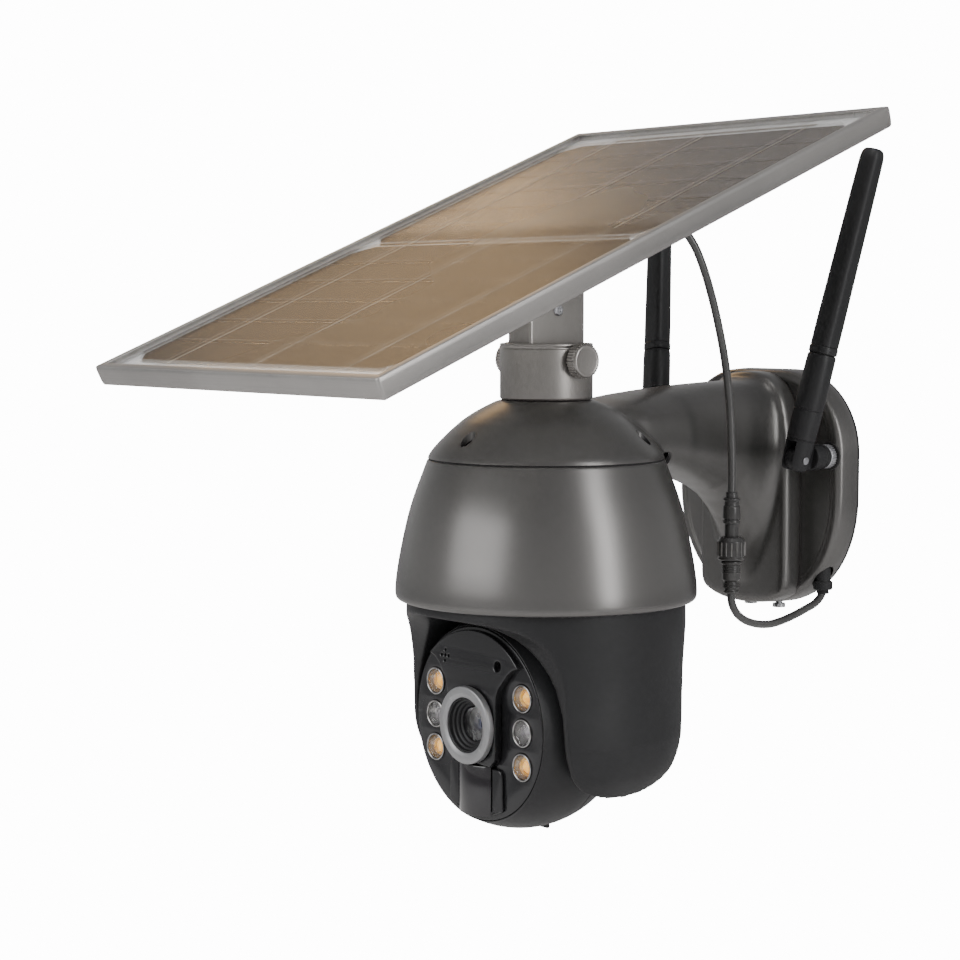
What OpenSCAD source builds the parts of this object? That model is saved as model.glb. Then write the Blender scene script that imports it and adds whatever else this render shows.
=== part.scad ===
// Solar-powered pan and tilt security camera on a wall arm.
// Origin: centre of the wall face. +Z up, the wall is the plane y = 0, the lens looks along -Y.

/* [Wall base] */
// width of the wall base, X
base_w = 103; // [90:1:120]
// height of the wall base, Z
base_h = 110; // [95:1:125]
// corner radius of the wall base
base_r = 38; // [25:1:45]
// depth of the wall base's rim
base_t = 14; // [12:1:18]

/* [Dome] */
// wall to pan axis
axis_d = 145; // [135:1:160]
// height of the dome's seam
seam_z = 19; // [15:1:22]
// height of the dome's lower rim
rim_z = -42; // [-45:1:-40]

/* [Pan yoke and camera ball] */
// outer radius of the yoke
yoke_r = 60.5; // [59:0.5:61]
// radius of the ball
ball_r = 47.4; // [44:0.2:47.4]
// height of the tilt axis
tilt_z = -92; // [-93:0.5:-91]
// tilt axis ahead of the pan axis
tilt_off = 15; // [13:1:16]

/* [Mast] */
// outer radius of the collar
collar_r = 20; // [19:0.5:21]
// height of the panel hinge
hinge_z = 100; // [98:1:104]

/* [Solar panel] */
// panel width, X
panel_w = 196; // [180:1:210]
// panel length
panel_l = 292; // [270:1:300]
// tilt of the panel as set
panel_a = 22; // [20:1:24]

/* [Antennas] */
// distance of each antenna from the centre plane
ant_x = 45.2; // [44:0.2:46]
// pivot to tip
ant_l = 141; // [120:1:145]

/* [Hidden] */
$fn = 64;
ay = -axis_d;
by = ay - tilt_off;
tan_z = tilt_z;
// panel centre measured from the foot of the hinge on the panel plane
foot_v = 21.7;
foot_w = 23;
lean = 9;
fold = 10;
ant_y = -36.2;
ant_z = 16.4;
gear_n = 44;
pin_n = 14;
tg_n = 28;
tp_n = 10;
tp_a = 45;
pan_a = 200;
cover_a = -50;
tp_d = (tg_n + tp_n) / 2;
pan_d = (gear_n + pin_n) / 2;

c_body = [0.33, 0.32, 0.31];
c_black = [0.06, 0.06, 0.065];
c_metal = [0.55, 0.54, 0.52];
c_green = [0.05, 0.3, 0.15];
c_steel = [0.7, 0.7, 0.7];

// outer profile of the skirt, radius and height
skirt_pts = [[51.2, 18.7], [53.7, 12], [56.5, 4.5], [58.9, -3], [60.8, -10.5], [62.4, -18],
    [63.9, -26], [64.9, -33], [65.2, -37.6], [65, -39.8], [64.2, -41.2]];
cap_pts = [[51.2, 19.3], [50.8, 20.3], [49, 22.7], [46.2, 25.9], [41.8, 30.3], [36.7, 34.8],
    [33.2, 37.3], [29.4, 39.6], [26, 41.4], [22.6, 43.1], [21, 43.8], [20.5, 44]];
yoke_side = [[-61, -37], [61, -37], [61, -45], [52, -46.8], [45, -50], [40, -54.5],
    [36.5, -61], [34.4, -69], [33.5, -79], [33.2, -92], [32, -101], [29, -108.5],
    [22.6, -116.4], [12, -120.4], [0, -121.5], [-12, -120.4], [-22.6, -116.4], [-29, -108.5],
    [-32, -101], [-33.2, -92], [-33.5, -79], [-34.4, -69], [-36.5, -61], [-40, -54.5],
    [-45, -50], [-52, -46.8], [-61, -45]];
// arm sections: y, top z, bottom z, half width, squareness
arm_out = [[-13, 53.6, -53.6, 27, 5.5], [-20, 53.2, -53, 27, 5.2], [-25, 52.7, -50.4, 26.9, 4.8],
    [-28.5, 52.3, -43.5, 26.8, 4.4], [-32, 51.8, -33.5, 26.7, 4], [-36, 51.3, -23, 26.5, 3.7],
    [-41, 50.7, -13, 26.3, 3.4], [-48, 49.9, -4.4, 26.1, 3.2], [-57, 49, 1.8, 26, 3],
    [-68, 48.1, 6.6, 26.2, 2.9], [-81, 47.2, 10.4, 26.8, 2.8], [-94, 46.1, 13, 27.5, 2.8],
    [-106, 44.8, 14.6, 28, 2.8], [-119, 42.8, 15.6, 27, 2.8], [-132, 39.5, 16.5, 22, 2.8]];
arm_in = [[-10, 50.6, -50.6, 24, 5.5], [-19, 50.2, -49.6, 24, 5.2], [-23, 49.7, -44, 23.9, 4.8],
    [-28.5, 49.2, -32, 23.7, 4], [-33, 48.6, -20.5, 23.5, 3.7], [-38, 48, -10.6, 23.3, 3.4],
    [-46, 47, -1.4, 23.1, 3.2], [-56, 46, 5, 23, 3], [-68, 45.1, 9.8, 23.2, 2.9],
    [-81, 44.2, 13.6, 23.8, 2.8], [-94, 43.1, 16.2, 24.4, 2.8], [-106, 41.6, 18, 24.6, 2.8],
    [-119, 38, 19.8, 22, 2.8]];
lead_pts = [[27, -113.9, 126.6], [31.5, -113.2, 126.1], [36.6, -110.5, 123.8], [41, -105.6, 118.2],
    [43.8, -100.3, 110.4], [45, -95.8, 101], [45, -90.6, 89], [45, -85.8, 75], [45, -81.8, 60],
    [45, -79, 44], [45, -77.6, 28], [45, -77, 14], [45, -77, 3.55]];
tail_pts = [[45, -77, -40.7], [45, -76.2, -45.4], [44.8, -73, -50], [44.4, -67.4, -53.6],
    [43.6, -59, -56.2], [42.6, -49.2, -57.3], [41.4, -39.6, -56.6], [40.2, -30, -55],
    [39, -21.6, -53.2], [38, -14.8, -51.6], [37.3, -10.2, -49.2], [37, -8.1, -46.4],
    [37, -8, -43], [37, -8, -39.6]];

module rrect(w, h, r) {
    square([w - 2 * r, h], center = true);
    square([w, h - 2 * r], center = true);
    for (sx = [-1, 1])
        for (sy = [-1, 1])
            translate([sx * (w / 2 - r), sy * (h / 2 - r)])
                circle(r);
}

// outline of the wall base, drawn in by d: round shoulders above, an oval below
module base_plan(d) {
    w = base_w / 2 - d;
    h = base_h / 2 - d;
    r = base_r - d;
    top = [for (a = [0:6:90]) [w - r + r * cos(a), h - r + r * sin(a)]];
    low = [for (a = [4.5:4.5:90]) [w * pow(cos(a), 2 / 2.2), -h * pow(sin(a), 2 / 2.2)]];
    n = len(low);
    polygon(concat(top, [for (i = [0:len(top) - 1]) [-top[len(top) - 1 - i][0], top[len(top) - 1 - i][1]]],
        [for (p = low) if (p[0] > 0.01) [-p[0], p[1]]], [for (i = [n - 1:-1:0]) low[i]]));
}

// squared oval, used for the slot that takes the arm's foot
module foot_slot(w, h, n) {
    polygon([for (i = [0:59]) let (p = super(6 * i + 3, n)) [w * p[0], h * p[1]]]);
}

module yslab(y0, t) {
    translate([0, y0, 0])
        rotate([90, 0, 0])
            linear_extrude(t)
                children();
}

module xcyl(r, x0, x1) {
    translate([x0, 0, 0])
        rotate([0, 90, 0])
            cylinder(r = r, h = x1 - x0);
}

module ycyl(r, y0, y1) {
    translate([0, y1, 0])
        rotate([90, 0, 0])
            cylinder(r = r, h = y1 - y0);
}

function sgn(v) = v < 0 ? -1 : 1;
function super(a, n) = [sgn(cos(a)) * pow(abs(cos(a)), 2 / n), sgn(sin(a)) * pow(abs(sin(a)), 2 / n)];
function ring_pts(s, k) = [for (i = [0:k - 1])
    let (p = super(360 * i / k + 180 / k, s[4]))
        [s[3] * p[0], s[0], (s[1] + s[2]) / 2 + (s[1] - s[2]) / 2 * p[1]]];

module loft(secs, k) {
    n = len(secs);
    pts = [for (s = secs) each ring_pts(s, k)];
    sides = [for (j = [0:n - 2]) for (i = [0:k - 1])
        each [[j * k + i, (j + 1) * k + i, (j + 1) * k + (i + 1) % k],
            [j * k + i, (j + 1) * k + (i + 1) % k, j * k + (i + 1) % k]]];
    first = [[for (i = [0:k - 1]) i]];
    last = [[for (i = [0:k - 1]) (n - 1) * k + k - 1 - i]];
    polyhedron(points = pts, faces = concat(sides, first, last), convexity = 6);
}

function unit(v) = v / norm(v);
function side_a(t) = unit(cross(t, abs(t[0]) > 0.9 ? [0, 1, 0] : [1, 0, 0]));
// smooth centreline through the hand-set points
function spline(p, i, t) =
    let (n = len(p), a = p[max(i - 1, 0)], b = p[i], c = p[min(i + 1, n - 1)], d = p[min(i + 2, n - 1)])
        0.5 * (2 * b + (c - a) * t + (2 * a - 5 * b + 4 * c - d) * t * t
            + (3 * b - a - 3 * c + d) * t * t * t);
function path(p, s) = concat([for (i = [0:len(p) - 2]) for (j = [0:s - 1]) spline(p, i, j / s)],
    [p[len(p) - 1]]);

module tube(p, r, s) {
    q = path(p, s);
    n = len(q);
    k = 8;
    tn = [for (i = [0:n - 1]) unit(q[min(i + 1, n - 1)] - q[max(i - 1, 0)])];
    pts = [for (i = [0:n - 1]) let (a = side_a(tn[i]), b = cross(tn[i], a))
        each [for (m = [0:k - 1]) q[i] + r * (cos(45 * m) * a + sin(45 * m) * b)]];
    sides = [for (j = [0:n - 2]) for (i = [0:k - 1])
        each [[j * k + i, (j + 1) * k + (i + 1) % k, (j + 1) * k + i],
            [j * k + i, j * k + (i + 1) % k, (j + 1) * k + (i + 1) % k]]];
    first = [[for (i = [0:k - 1]) k - 1 - i]];
    last = [[for (i = [0:k - 1]) (n - 1) * k + i]];
    polyhedron(points = pts, faces = concat(sides, first, last), convexity = 6);
}

// toothed wheel of module 1 with a tooth on the +X line
module gear(n, h, bore) {
    rp = n / 2;
    w = 360 / n;
    linear_extrude(h)
        difference() {
            polygon([for (i = [0:n - 1]) each [
                (rp - 1.2) * [cos(w * (i - 0.33)), sin(w * (i - 0.33))],
                (rp - 0.1) * [cos(w * (i - 0.19)), sin(w * (i - 0.19))],
                (rp + 0.85) * [cos(w * (i - 0.09)), sin(w * (i - 0.09))],
                (rp + 0.85) * [cos(w * (i + 0.09)), sin(w * (i + 0.09))],
                (rp - 0.1) * [cos(w * (i + 0.19)), sin(w * (i + 0.19))],
                (rp - 1.2) * [cos(w * (i + 0.33)), sin(w * (i + 0.33))]]]);
            if (bore > 0)
                circle(bore);
        }
}

module on_axis() {
    translate([0, ay, 0])
        children();
}

module on_ball() {
    translate([0, by, tan_z])
        children();
}

module on_panel() {
    translate([0, ay, hinge_z])
        rotate([panel_a, 0, 0])
            translate([0, -foot_v, foot_w])
                children();
}

// ---------- wall base and arm ----------
module base_shell() {
    color(c_body)
        difference() {
            union() {
                yslab(-1.5, base_t - 4)
                    base_plan(0);
                yslab(-base_t + 2.5, 1.5)
                    base_plan(0.8);
                yslab(-base_t + 1, 1)
                    base_plan(2.2);
            }
            yslab(-0.5, base_t - 4)
                base_plan(3);
            yslab(-5, 12)
                foot_slot(27.3, 53.9, 5.5);
            for (s = [-1, 1])
                translate([s * ant_x, 0, ant_z])
                    ycyl(3.3, -20, -5);
            for (s = [-1, 1])
                translate([s * 9, -7, -60])
                    cylinder(r = 1.7, h = 20);
            translate([37, -8, -60])
                cylinder(r = 4.7, h = 30);
        }
}

module wall_plate() {
    color(c_steel)
        difference() {
            union() {
                yslab(0, 2.4)
                    intersection() {
                        rrect(80, 88, 15);
                        base_plan(5);
                    }
                translate([-14, -11.4, -50])
                    cube([28, 9, 4]);
                translate([-11, -2.4, -49.6])
                    cube([22, 2.4, 7.6]);
            }
            for (sx = [-1, 1])
                for (sz = [-1, 1])
                    translate([sx * 30, 0, sz * 32])
                        ycyl(2.6, -4, 1);
            ycyl(11, -4, 1);
            for (s = [-1, 1])
                translate([s * 9, -7, -52])
                    cylinder(r = 1.6, h = 8);
        }
}

module wall_gasket() {
    color(c_black)
        yslab(0, 1.5)
            difference() {
                base_plan(0.5);
                base_plan(4);
            }
}

module lock_screws() {
    color(c_steel)
        for (s = [-1, 1])
            translate([s * 9, -7, 0]) {
                translate([0, 0, -56.8])
                    cylinder(r = 3, h = 1.8);
                translate([0, 0, -55.1])
                    cylinder(r = 1.6, h = 9.5);
            }
}

module battery_cells() {
    color([0.2, 0.45, 0.75])
        for (s = [-1, 1]) {
            translate([s * 9.5, -13, -33])
                cylinder(r = 9.1, h = 65);
            translate([s * 9.5, 0, 32])
                ycyl(9.1, -97, -32);
        }
}

module battery_clip() {
    color(c_black)
        difference() {
            union() {
                for (z = [-20, 14])
                    translate([0, -13, z])
                        linear_extrude(5)
                            rrect(39.6, 20.6, 10.2);
                for (y = [-52, -84])
                    translate([0, 0, 32])
                        yslab(y, 5)
                            rrect(39.6, 20.6, 10.2);
            }
            for (s = [-1, 1]) {
                translate([s * 9.5, -13, -40])
                    cylinder(r = 9.12, h = 80);
                translate([s * 9.5, 0, 32])
                    ycyl(9.12, -100, -30);
            }
        }
}

module arm_shell() {
    color(c_body)
        difference() {
            union() {
                on_axis()
                    rotate_extrude()
                        polygon(concat([[0, 19.3]], cap_pts, [[0, 44]]));
                loft(arm_out, 28);
            }
            on_axis()
                rotate_extrude()
                    polygon([[0, 10], [48.6, 10], [48.6, 19.4], [47.2, 21.2], [43.4, 25.4], [38.6, 29.9],
                        [33.6, 33.6], [28.6, 36], [25, 36.5], [0, 36.5]]);
            intersection() {
                loft(arm_in, 20);
                translate([-40, ay - 10, -60])
                    cube([80, 200, 130]);
            }
            on_axis()
                rotate_extrude()
                    polygon([[0, -20], [64, -20], [62.4, -10.5], [60.2, -2], [57.9, 5],
                        [54.8, 13], [52.3, 19.3], [0, 19.3]]);
            on_axis()
                cylinder(r = 12.06, h = 60);
            for (a = [0, 120, 240])
                on_axis()
                    rotate([0, 0, a])
                        translate([0, -43.4, 20]) {
                            cylinder(r = 1.6, h = 12);
                            translate([0, 0, 4.4])
                                cylinder(r = 3.1, h = 12);
                        }
        }
}

module cap_screws() {
    color(c_steel)
        for (a = [0, 120, 240])
            on_axis()
                rotate([0, 0, a])
                    translate([0, -43.4, 0])
                        difference() {
                            union() {
                                translate([0, 0, 12.4])
                                    cylinder(r = 1.6, h = 12.2);
                                translate([0, 0, 24.4])
                                    cylinder(r = 2.9, h = 1.5);
                            }
                            translate([0, 0, 25.2])
                                linear_extrude(2) {
                                    square([3.4, 0.8], center = true);
                                    square([0.8, 3.4], center = true);
                                }
                        }
}

module seam_gasket() {
    color(c_black)
        on_axis()
            rotate_extrude()
                translate([47.2, 18.7])
                    square([3.2, 0.6]);
}

// ---------- dome ----------
module dome_skirt() {
    color(c_body)
        on_axis()
            difference() {
                union() {
                    rotate_extrude()
                        polygon(concat(skirt_pts, [[60.9, -41.2], [60.9, -33], [59.4, -26], [58.1, -18],
                            [56.6, -10.5], [54.9, -3], [52.9, 4.5], [50.6, 12], [48.6, 16.9],
                            [45.6, 16.9], [45.6, 18.7]]));
                    for (a = [0, 120, 240])
                        rotate([0, 0, a])
                            translate([0, -43.4, 6])
                                cylinder(r = 3.6, h = 12.7);
                    for (a = [0, 120, 240])
                        rotate([0, 0, a])
                            translate([-1.5, -51, 6])
                                cube([3, 6, 11]);
                }
                for (a = [0, 120, 240])
                    rotate([0, 0, a])
                        translate([0, -43.4, 10])
                            cylinder(r = 1.6, h = 12);
            }
}

module dome_floor() {
    color(c_black)
        on_axis()
            difference() {
                union() {
                    translate([0, 0, -37])
                        cylinder(r = 60.7, h = 2.6);
                    translate([0, 0, -34.5])
                        cylinder(r = 18.6, h = 5);
                }
                translate([0, 0, -40])
                    cylinder(r = 16, h = 20);
                for (x = [-6, 0, 6])
                    for (y = [-6, 0, 6])
                        rotate([0, 0, -60])
                            translate([-41 + x, y, -40])
                                cylinder(r = 1.3, h = 8);
                rotate([0, 0, pan_a])
                    translate([pan_d, 0, -40])
                        cylinder(r = 2.06, h = 8);
            }
}

module main_board() {
    color(c_green)
        on_axis()
            difference() {
                union() {
                    translate([0, 0, 6.4])
                        cylinder(r = 38, h = 1.6);
                    translate([-14, -12, 8])
                        cube([20, 20, 2.4]);
                    translate([12, 4, 8])
                        cube([10, 12, 4]);
                    translate([-30, 4, 8])
                        cube([10, 14, 6]);
                    translate([-8, 20, 8])
                        cube([24, 8, 5]);
                }
                for (a = [60, 180, 300])
                    rotate([0, 0, a])
                        translate([0, -34, 4])
                            cylinder(r = 1.5, h = 6);
            }
}

module modem_module() {
    color(c_steel)
        on_axis()
            translate([-12, -34, 8.2])
                cube([24, 18, 2.6]);
}

module pan_motor() {
    color(c_steel)
        on_axis()
            rotate([0, 0, pan_a])
                translate([pan_d, 0, 0]) {
                    translate([0, 0, -19])
                        cylinder(r = 14, h = 19);
                    translate([0, 0, -21])
                        cylinder(r = 4.5, h = 2);
                }
}

module pan_bracket() {
    color(c_steel)
        on_axis()
            rotate([0, 0, pan_a])
                translate([pan_d, 0, 0])
                    difference() {
                        union() {
                            translate([-9, -19, -21])
                                cube([18, 38, 2]);
                            for (s = [-1, 1])
                                translate([-5, s * 17 - 2, -34.4])
                                    cube([10, 4, 13.4]);
                        }
                        translate([0, 0, -22])
                            cylinder(r = 4.5, h = 4);
                    }
}

module pan_bearing() {
    color(c_steel)
        on_axis()
            translate([0, 0, -37])
                difference() {
                    cylinder(r = 16, h = 7.5);
                    translate([0, 0, -1])
                        cylinder(r = 12.05, h = 10);
                }
}

module pan_pinion() {
    color(c_steel)
        on_axis()
            rotate([0, 0, pan_a])
                translate([pan_d, 0, 0])
                    union() {
                        translate([0, 0, -28])
                            rotate([0, 0, 180 / pin_n])
                                gear(pin_n, 5.6, 0);
                        translate([0, 0, -36.6])
                            cylinder(r = 2, h = 15.2);
                    }
}

module speaker() {
    color(c_black)
        on_axis()
            rotate([0, 0, -60])
                translate([-41, 0, -34.2])
                    difference() {
                        cylinder(r = 13, h = 6);
                        translate([0, 0, -1])
                            cylinder(r = 10, h = 3);
                    }
}

// ---------- sockets and cable ----------
module sma_sockets() {
    color([0.8, 0.65, 0.3])
        for (s = [-1, 1])
            translate([s * ant_x, 0, ant_z])
                difference() {
                    union() {
                        ycyl(3.2, -17.6, -7);
                        ycyl(4.6, -10.4, -8.4);
                    }
                    ycyl(1.2, -18, -12);
                    translate([s > 0 ? 3.15 : -8.15, -10.6, -6])
                        cube([5, 4.4, 12]);
                }
}

module cable_gland() {
    color(c_black)
        translate([37, -8, 0])
            difference() {
                union() {
                    translate([0, 0, -45.6])
                        cylinder(r = 4.4, h = 3.8);
                    translate([0, 0, -45.6])
                        cylinder(r = 3.5, h = 14);
                }
                translate([0, 0, -48])
                    cylinder(r = 2.05, h = 18);
            }
}

module pigtail() {
    color([0.25, 0.25, 0.25])
        tube(tail_pts, 1.75, 4);
}

module connector_socket() {
    color(c_black)
        translate([45, -77, 1.3]) {
            translate([0, 0, -41])
                cylinder(r = 3.2, h = 3);
            translate([0, 0, -38.4])
                cylinder(r = 5, h = 10.4);
            translate([0, 0, -28])
                cylinder(r = 3.5, h = 7.4);
        }
}

module union_nut() {
    color(c_black)
        translate([45, -77, -26.1])
            difference() {
                cylinder(r = 6.8, h = 10);
                translate([0, 0, -1])
                    cylinder(r = 4.05, h = 8);
                translate([0, 0, 6])
                    cylinder(r = 3.05, h = 6);
                for (a = [0:30:330])
                    rotate([0, 0, a])
                        translate([7.2, 0, -1])
                            cylinder(r = 0.8, h = 12, $fn = 16);
            }
}

module connector_plug() {
    color(c_black)
        translate([45, -77, 1.3]) {
            translate([0, 0, -20.5])
                cylinder(r = 3, h = 9.4);
            translate([0, 0, -12])
                cylinder(r = 4.2, h = 10);
            translate([0, 0, -2])
                cylinder(r = 5, h = 1.4);
            translate([0, 0, -0.6])
                cylinder(r = 3, h = 2.8);
        }
}

module panel_lead() {
    color([0.25, 0.25, 0.25])
        tube(lead_pts, 1.75, 4);
}

// ---------- pan yoke ----------
module yoke_shell() {
    color(c_black)
        difference() {
            intersection() {
                on_axis()
                    rotate_extrude()
                        polygon([[0, -38], [59.2, -38], [59.9, -39], [60.4, -44], [yoke_r, -52],
                            [yoke_r, -92], [60, -99], [58.8, -105.5], [56.6, -111.5], [53.6, -116.4],
                            [50.4, -119.8], [48.2, -121.5], [0, -121.5]]);
                translate([-61, ay, 0])
                    rotate([90, 0, 90])
                        linear_extrude(122)
                            polygon(yoke_side);
            }
            on_ball()
                sphere(r = ball_r + 1.1, $fn = 96);
            intersection() {
                union() {
                    translate([0, 0, tan_z])
                        ycyl(48.5, ay - 70, ay + 70);
                    translate([-48.5, ay - 70, -130])
                        cube([97, 140, 130 + tan_z]);
                }
                translate([-60, ay - 80, -130])
                    cube([120, 160, 83.5]);
            }
            for (s = [-1, 1])
                on_ball()
                    xcyl(5, s < 0 ? -55 : 48, s < 0 ? -48 : 55);
            on_axis()
                translate([0, 0, -50])
                    cylinder(r = 8, h = 20);
        }
}

module pan_gear() {
    color([0.85, 0.85, 0.82])
        on_axis()
            difference() {
                union() {
                    translate([0, 0, -38])
                        cylinder(r = 12, h = 15);
                    translate([0, 0, -28.4])
                        rotate([0, 0, pan_a])
                            gear(gear_n, 5, 0);
                }
                translate([0, 0, -40])
                    cylinder(r = 8, h = 20);
            }
}

module tilt_axle_left() {
    color(c_steel)
        on_ball()
            xcyl(5, -55, -30);
}

module tilt_axle_right() {
    color(c_steel)
        on_ball()
            difference() {
                xcyl(5, 36, 55);
                xcyl(3, 34, 60);
            }
}

module tilt_gear() {
    color([0.85, 0.85, 0.82])
        on_ball()
            translate([-34, 0, 0])
                rotate([0, 90, 0])
                    rotate([0, 0, 180 - tp_a])
                        gear(tg_n, 3.6, 5);
}

// ---------- camera ball ----------
module ball_shell() {
    color(c_black)
        on_ball()
            difference() {
                union() {
                    difference() {
                        rotate([0, 90, 0])
                            sphere(r = ball_r, $fn = 96);
                        rotate([0, 90, 0])
                            sphere(r = ball_r - 2.6, $fn = 96);
                        translate([-60, -80.35, -60])
                            cube([120, 60, 120]);
                    }
                    for (s = [-1, 1])
                        xcyl(8.5, s < 0 ? -46 : 37, s < 0 ? -36.4 : 46);
                }
                xcyl(5.06, -60, -30);
                xcyl(5.06, 30, 60);
                rotate([cover_a, 0, 0])
                    translate([-14, 0, -27.4])
                        cube([28, 60, 18.9]);
                rotate([-20, 0, 0])
                    ycyl(3.06, 40, 50);
            }
}

module face_plate() {
    color(c_black)
        on_ball()
            difference() {
                ycyl(41.2, -23, -20.4);
                for (sx = [-1, 1])
                    for (z = [-14.4, 0, 14.4])
                        translate([sx * 28.7, 0, z])
                            ycyl(6.1, -24, -19);
                ycyl(14, -24, -19);
                translate([-10.6, -24, -35])
                    cube([21.2, 5, 20]);
                translate([0, 0, 25])
                    for (p = [[0, 0], [2.6, 0], [-2.6, 0], [0, 2.6], [0, -2.6]])
                        translate([-21 + p[0], 0, p[1]])
                            ycyl(0.6, -24, -19, $fn = 16);
                translate([19, 0, 27])
                    ycyl(2.2, -24, -19);
            }
}

module centre_plate() {
    color(c_black)
        on_ball()
            difference() {
                union() {
                    ycyl(18.4, -28, -23);
                    yslab(-23, 4)
                        polygon([[-16, 12], [-22.5, 24], [22.5, 24], [16, 12], [16, -34], [-16, -34]]);
                }
                ycyl(14, -30, -20);
                translate([-10.6, -30, -38])
                    cube([21.2, 10, 22]);
            }
}

module lens_ring() {
    color(c_steel)
        on_ball()
            difference() {
                ycyl(16.5, -31, -28);
                ycyl(11.6, -33, -26);
            }
}

module lens_barrel() {
    color(c_black)
        on_ball()
            difference() {
                union() {
                    ycyl(11.5, -29.6, -9);
                    ycyl(13.9, -24, -17);
                }
                ycyl(7.6, -31, -24);
                ycyl(5, -31, -10.5);
                ycyl(6, -11, -8);
            }
}

module lens_glass() {
    color([0.1, 0.15, 0.4, 0.6])
        on_ball()
            translate([0, -24.2, 0])
                rotate([90, 0, 0])
                    rotate_extrude()
                        polygon([[0, 0], [7.5, 0], [7.5, 1.2], [5.4, 2.3], [2.8, 3], [0, 3.2]]);
}

module sensor_board() {
    color(c_green)
        on_ball()
            union() {
                translate([-17, -8.9, -17])
                    cube([34, 1.6, 34]);
                translate([-4, -10.4, -4])
                    cube([8, 1.5, 8]);
            }
}

module led_cups() {
    color([0.85, 0.85, 0.85])
        on_ball() {
            for (sx = [-1, 1])
                for (z = [-14.4, 0, 14.4])
                    translate([sx * 28.7, 0, z])
                        translate([0, -16.6, 0])
                            rotate([90, 0, 0])
                                rotate_extrude()
                                    polygon([[0, 0], [3.6, 0], [6, 6.6], [5.4, 6.6], [3, 0.8], [0, 0.8]]);
            for (sx = [-1, 1])
                translate([sx * 28.7 - 5, -16.5, -21])
                    cube([10, 1.5, 42]);
        }
}

module white_leds() {
    color([0.95, 0.75, 0.3])
        on_ball()
            for (sx = [-1, 1])
                for (z = [-14.4, 14.4])
                    translate([sx * 28.7 - 1.75, -18.6, z - 1.75])
                        cube([3.5, 1.2, 3.5]);
}

module ir_leds() {
    color([0.5, 0.5, 0.52])
        on_ball()
            for (sx = [-1, 1])
                translate([sx * 28.7, -17.4, 0])
                    rotate([90, 0, 0])
                        rotate_extrude()
                            polygon([[0, 0], [2.5, 0], [2.5, 1.6], [1.8, 2.8], [0, 3.3]]);
}

module motion_window() {
    color([0.03, 0.03, 0.03])
        on_ball()
            difference() {
                translate([0, -14, -25.4])
                    intersection() {
                        translate([0, 0, -9.4])
                            cylinder(r = 15, h = 17.9);
                        translate([-10.4, -18, -12])
                            cube([20.8, 14, 24]);
                    }
                translate([0, -14, -25.4])
                    translate([0, 0, -8])
                        cylinder(r = 13.6, h = 15.8);
            }
}

module tilt_motor() {
    color(c_steel)
        on_ball()
            translate([0, tp_d * cos(tp_a), tp_d * sin(tp_a)])
                xcyl(9.6, -28.6, -14);
}

module tilt_pinion() {
    color(c_steel)
        on_ball()
            translate([0, tp_d * cos(tp_a), tp_d * sin(tp_a)]) {
                translate([-33.8, 0, 0])
                    rotate([0, 90, 0])
                        rotate([0, 0, 180 - tp_a + 180 / tp_n])
                            gear(tp_n, 3.4, 0);
                xcyl(1.5, -34.6, -28.9);
            }
}

module card_cover() {
    color(c_black)
        on_ball()
            union() {
                difference() {
                    intersection() {
                        rotate([0, 90, 0])
                            sphere(r = ball_r - 0.1, $fn = 96);
                        rotate([cover_a, 0, 0])
                            translate([-13.7, 5, -25.4])
                                cube([27.4, 60, 16.6]);
                    }
                    rotate([0, 90, 0])
                        sphere(r = ball_r - 2.4, $fn = 96);
                }
                rotate([cover_a, 0, 0])
                    translate([0, 38.2, -26])
                        xcyl(1.1, -13.7, 13.7);
            }
}

module card_reader() {
    color(c_steel)
        on_ball()
            rotate([cover_a, 0, 0])
                difference() {
                    translate([-12, 20, -21])
                        cube([24, 16, 7]);
                    translate([-7, 24, -17])
                        cube([14, 14, 1.4]);
                }
}

module reset_button() {
    color([0.3, 0.3, 0.3])
        on_ball()
            rotate([-20, 0, 0]) {
                ycyl(3, 42.4, 47.4);
                ycyl(4.4, 40.8, 42.6);
            }
}

// ---------- mast ----------
module collar() {
    color(c_metal)
        on_axis()
            difference() {
                union() {
                    translate([0, 0, 44.3])
                        cylinder(r = collar_r, h = 24.2);
                    translate([0, 0, 34])
                        cylinder(r = 12, h = 12);
                    translate([0, 0, 31])
                        cylinder(r = 15.5, h = 5.2);
                }
                translate([0, 0, 48.3])
                    cylinder(r = 17.8, h = 30);
                translate([0, 0, 20])
                    cylinder(r = 5, h = 40);
                translate([0, 0, 66.2])
                    difference() {
                        cylinder(r = 21, h = 0.8);
                        translate([0, 0, -1])
                            cylinder(r = 19.5, h = 3);
                    }
                translate([0, 0, 61.2])
                    xcyl(3.05, -30, 30);
            }
}

module post() {
    color(c_metal)
        on_axis()
            difference() {
                union() {
                    translate([-7.5, -15.5, 48.3])
                        cube([15, 31, hinge_z - 56.3]);
                    translate([0, 0, hinge_z - 8])
                        rotate([90, 0, 90])
                            translate([0, 0, -7.5])
                                linear_extrude(15)
                                    polygon([[-15.5, -0.1], [15.5, -0.1], [7.5, 8.5], [-7.5, 8.5]]);
                    translate([0, 0, hinge_z])
                        xcyl(7.5, -7.5, 7.5);
                    translate([0, 0, 82.5])
                        xcyl(2.4, 7, 8.6);
                }
                translate([-5, -13, 46])
                    cube([10, 26, hinge_z - 56]);
                translate([0, 0, hinge_z])
                    xcyl(3.05, -10, 10);
            }
}

module thumb_screw(s) {
    color(c_metal)
        on_axis()
            translate([0, 0, 61.2])
                difference() {
                    union() {
                        xcyl(3, s > 0 ? 7.9 : -24, s > 0 ? 24 : -7.9);
                        xcyl(7.5, s > 0 ? 20.6 : -26.4, s > 0 ? 26.4 : -20.6);
                    }
                    for (a = [0:20:340])
                        rotate([a, 0, 0])
                            translate([0, 0, 7.8])
                                xcyl(0.7, -28, 28, $fn = 16);
                }
}

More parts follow.
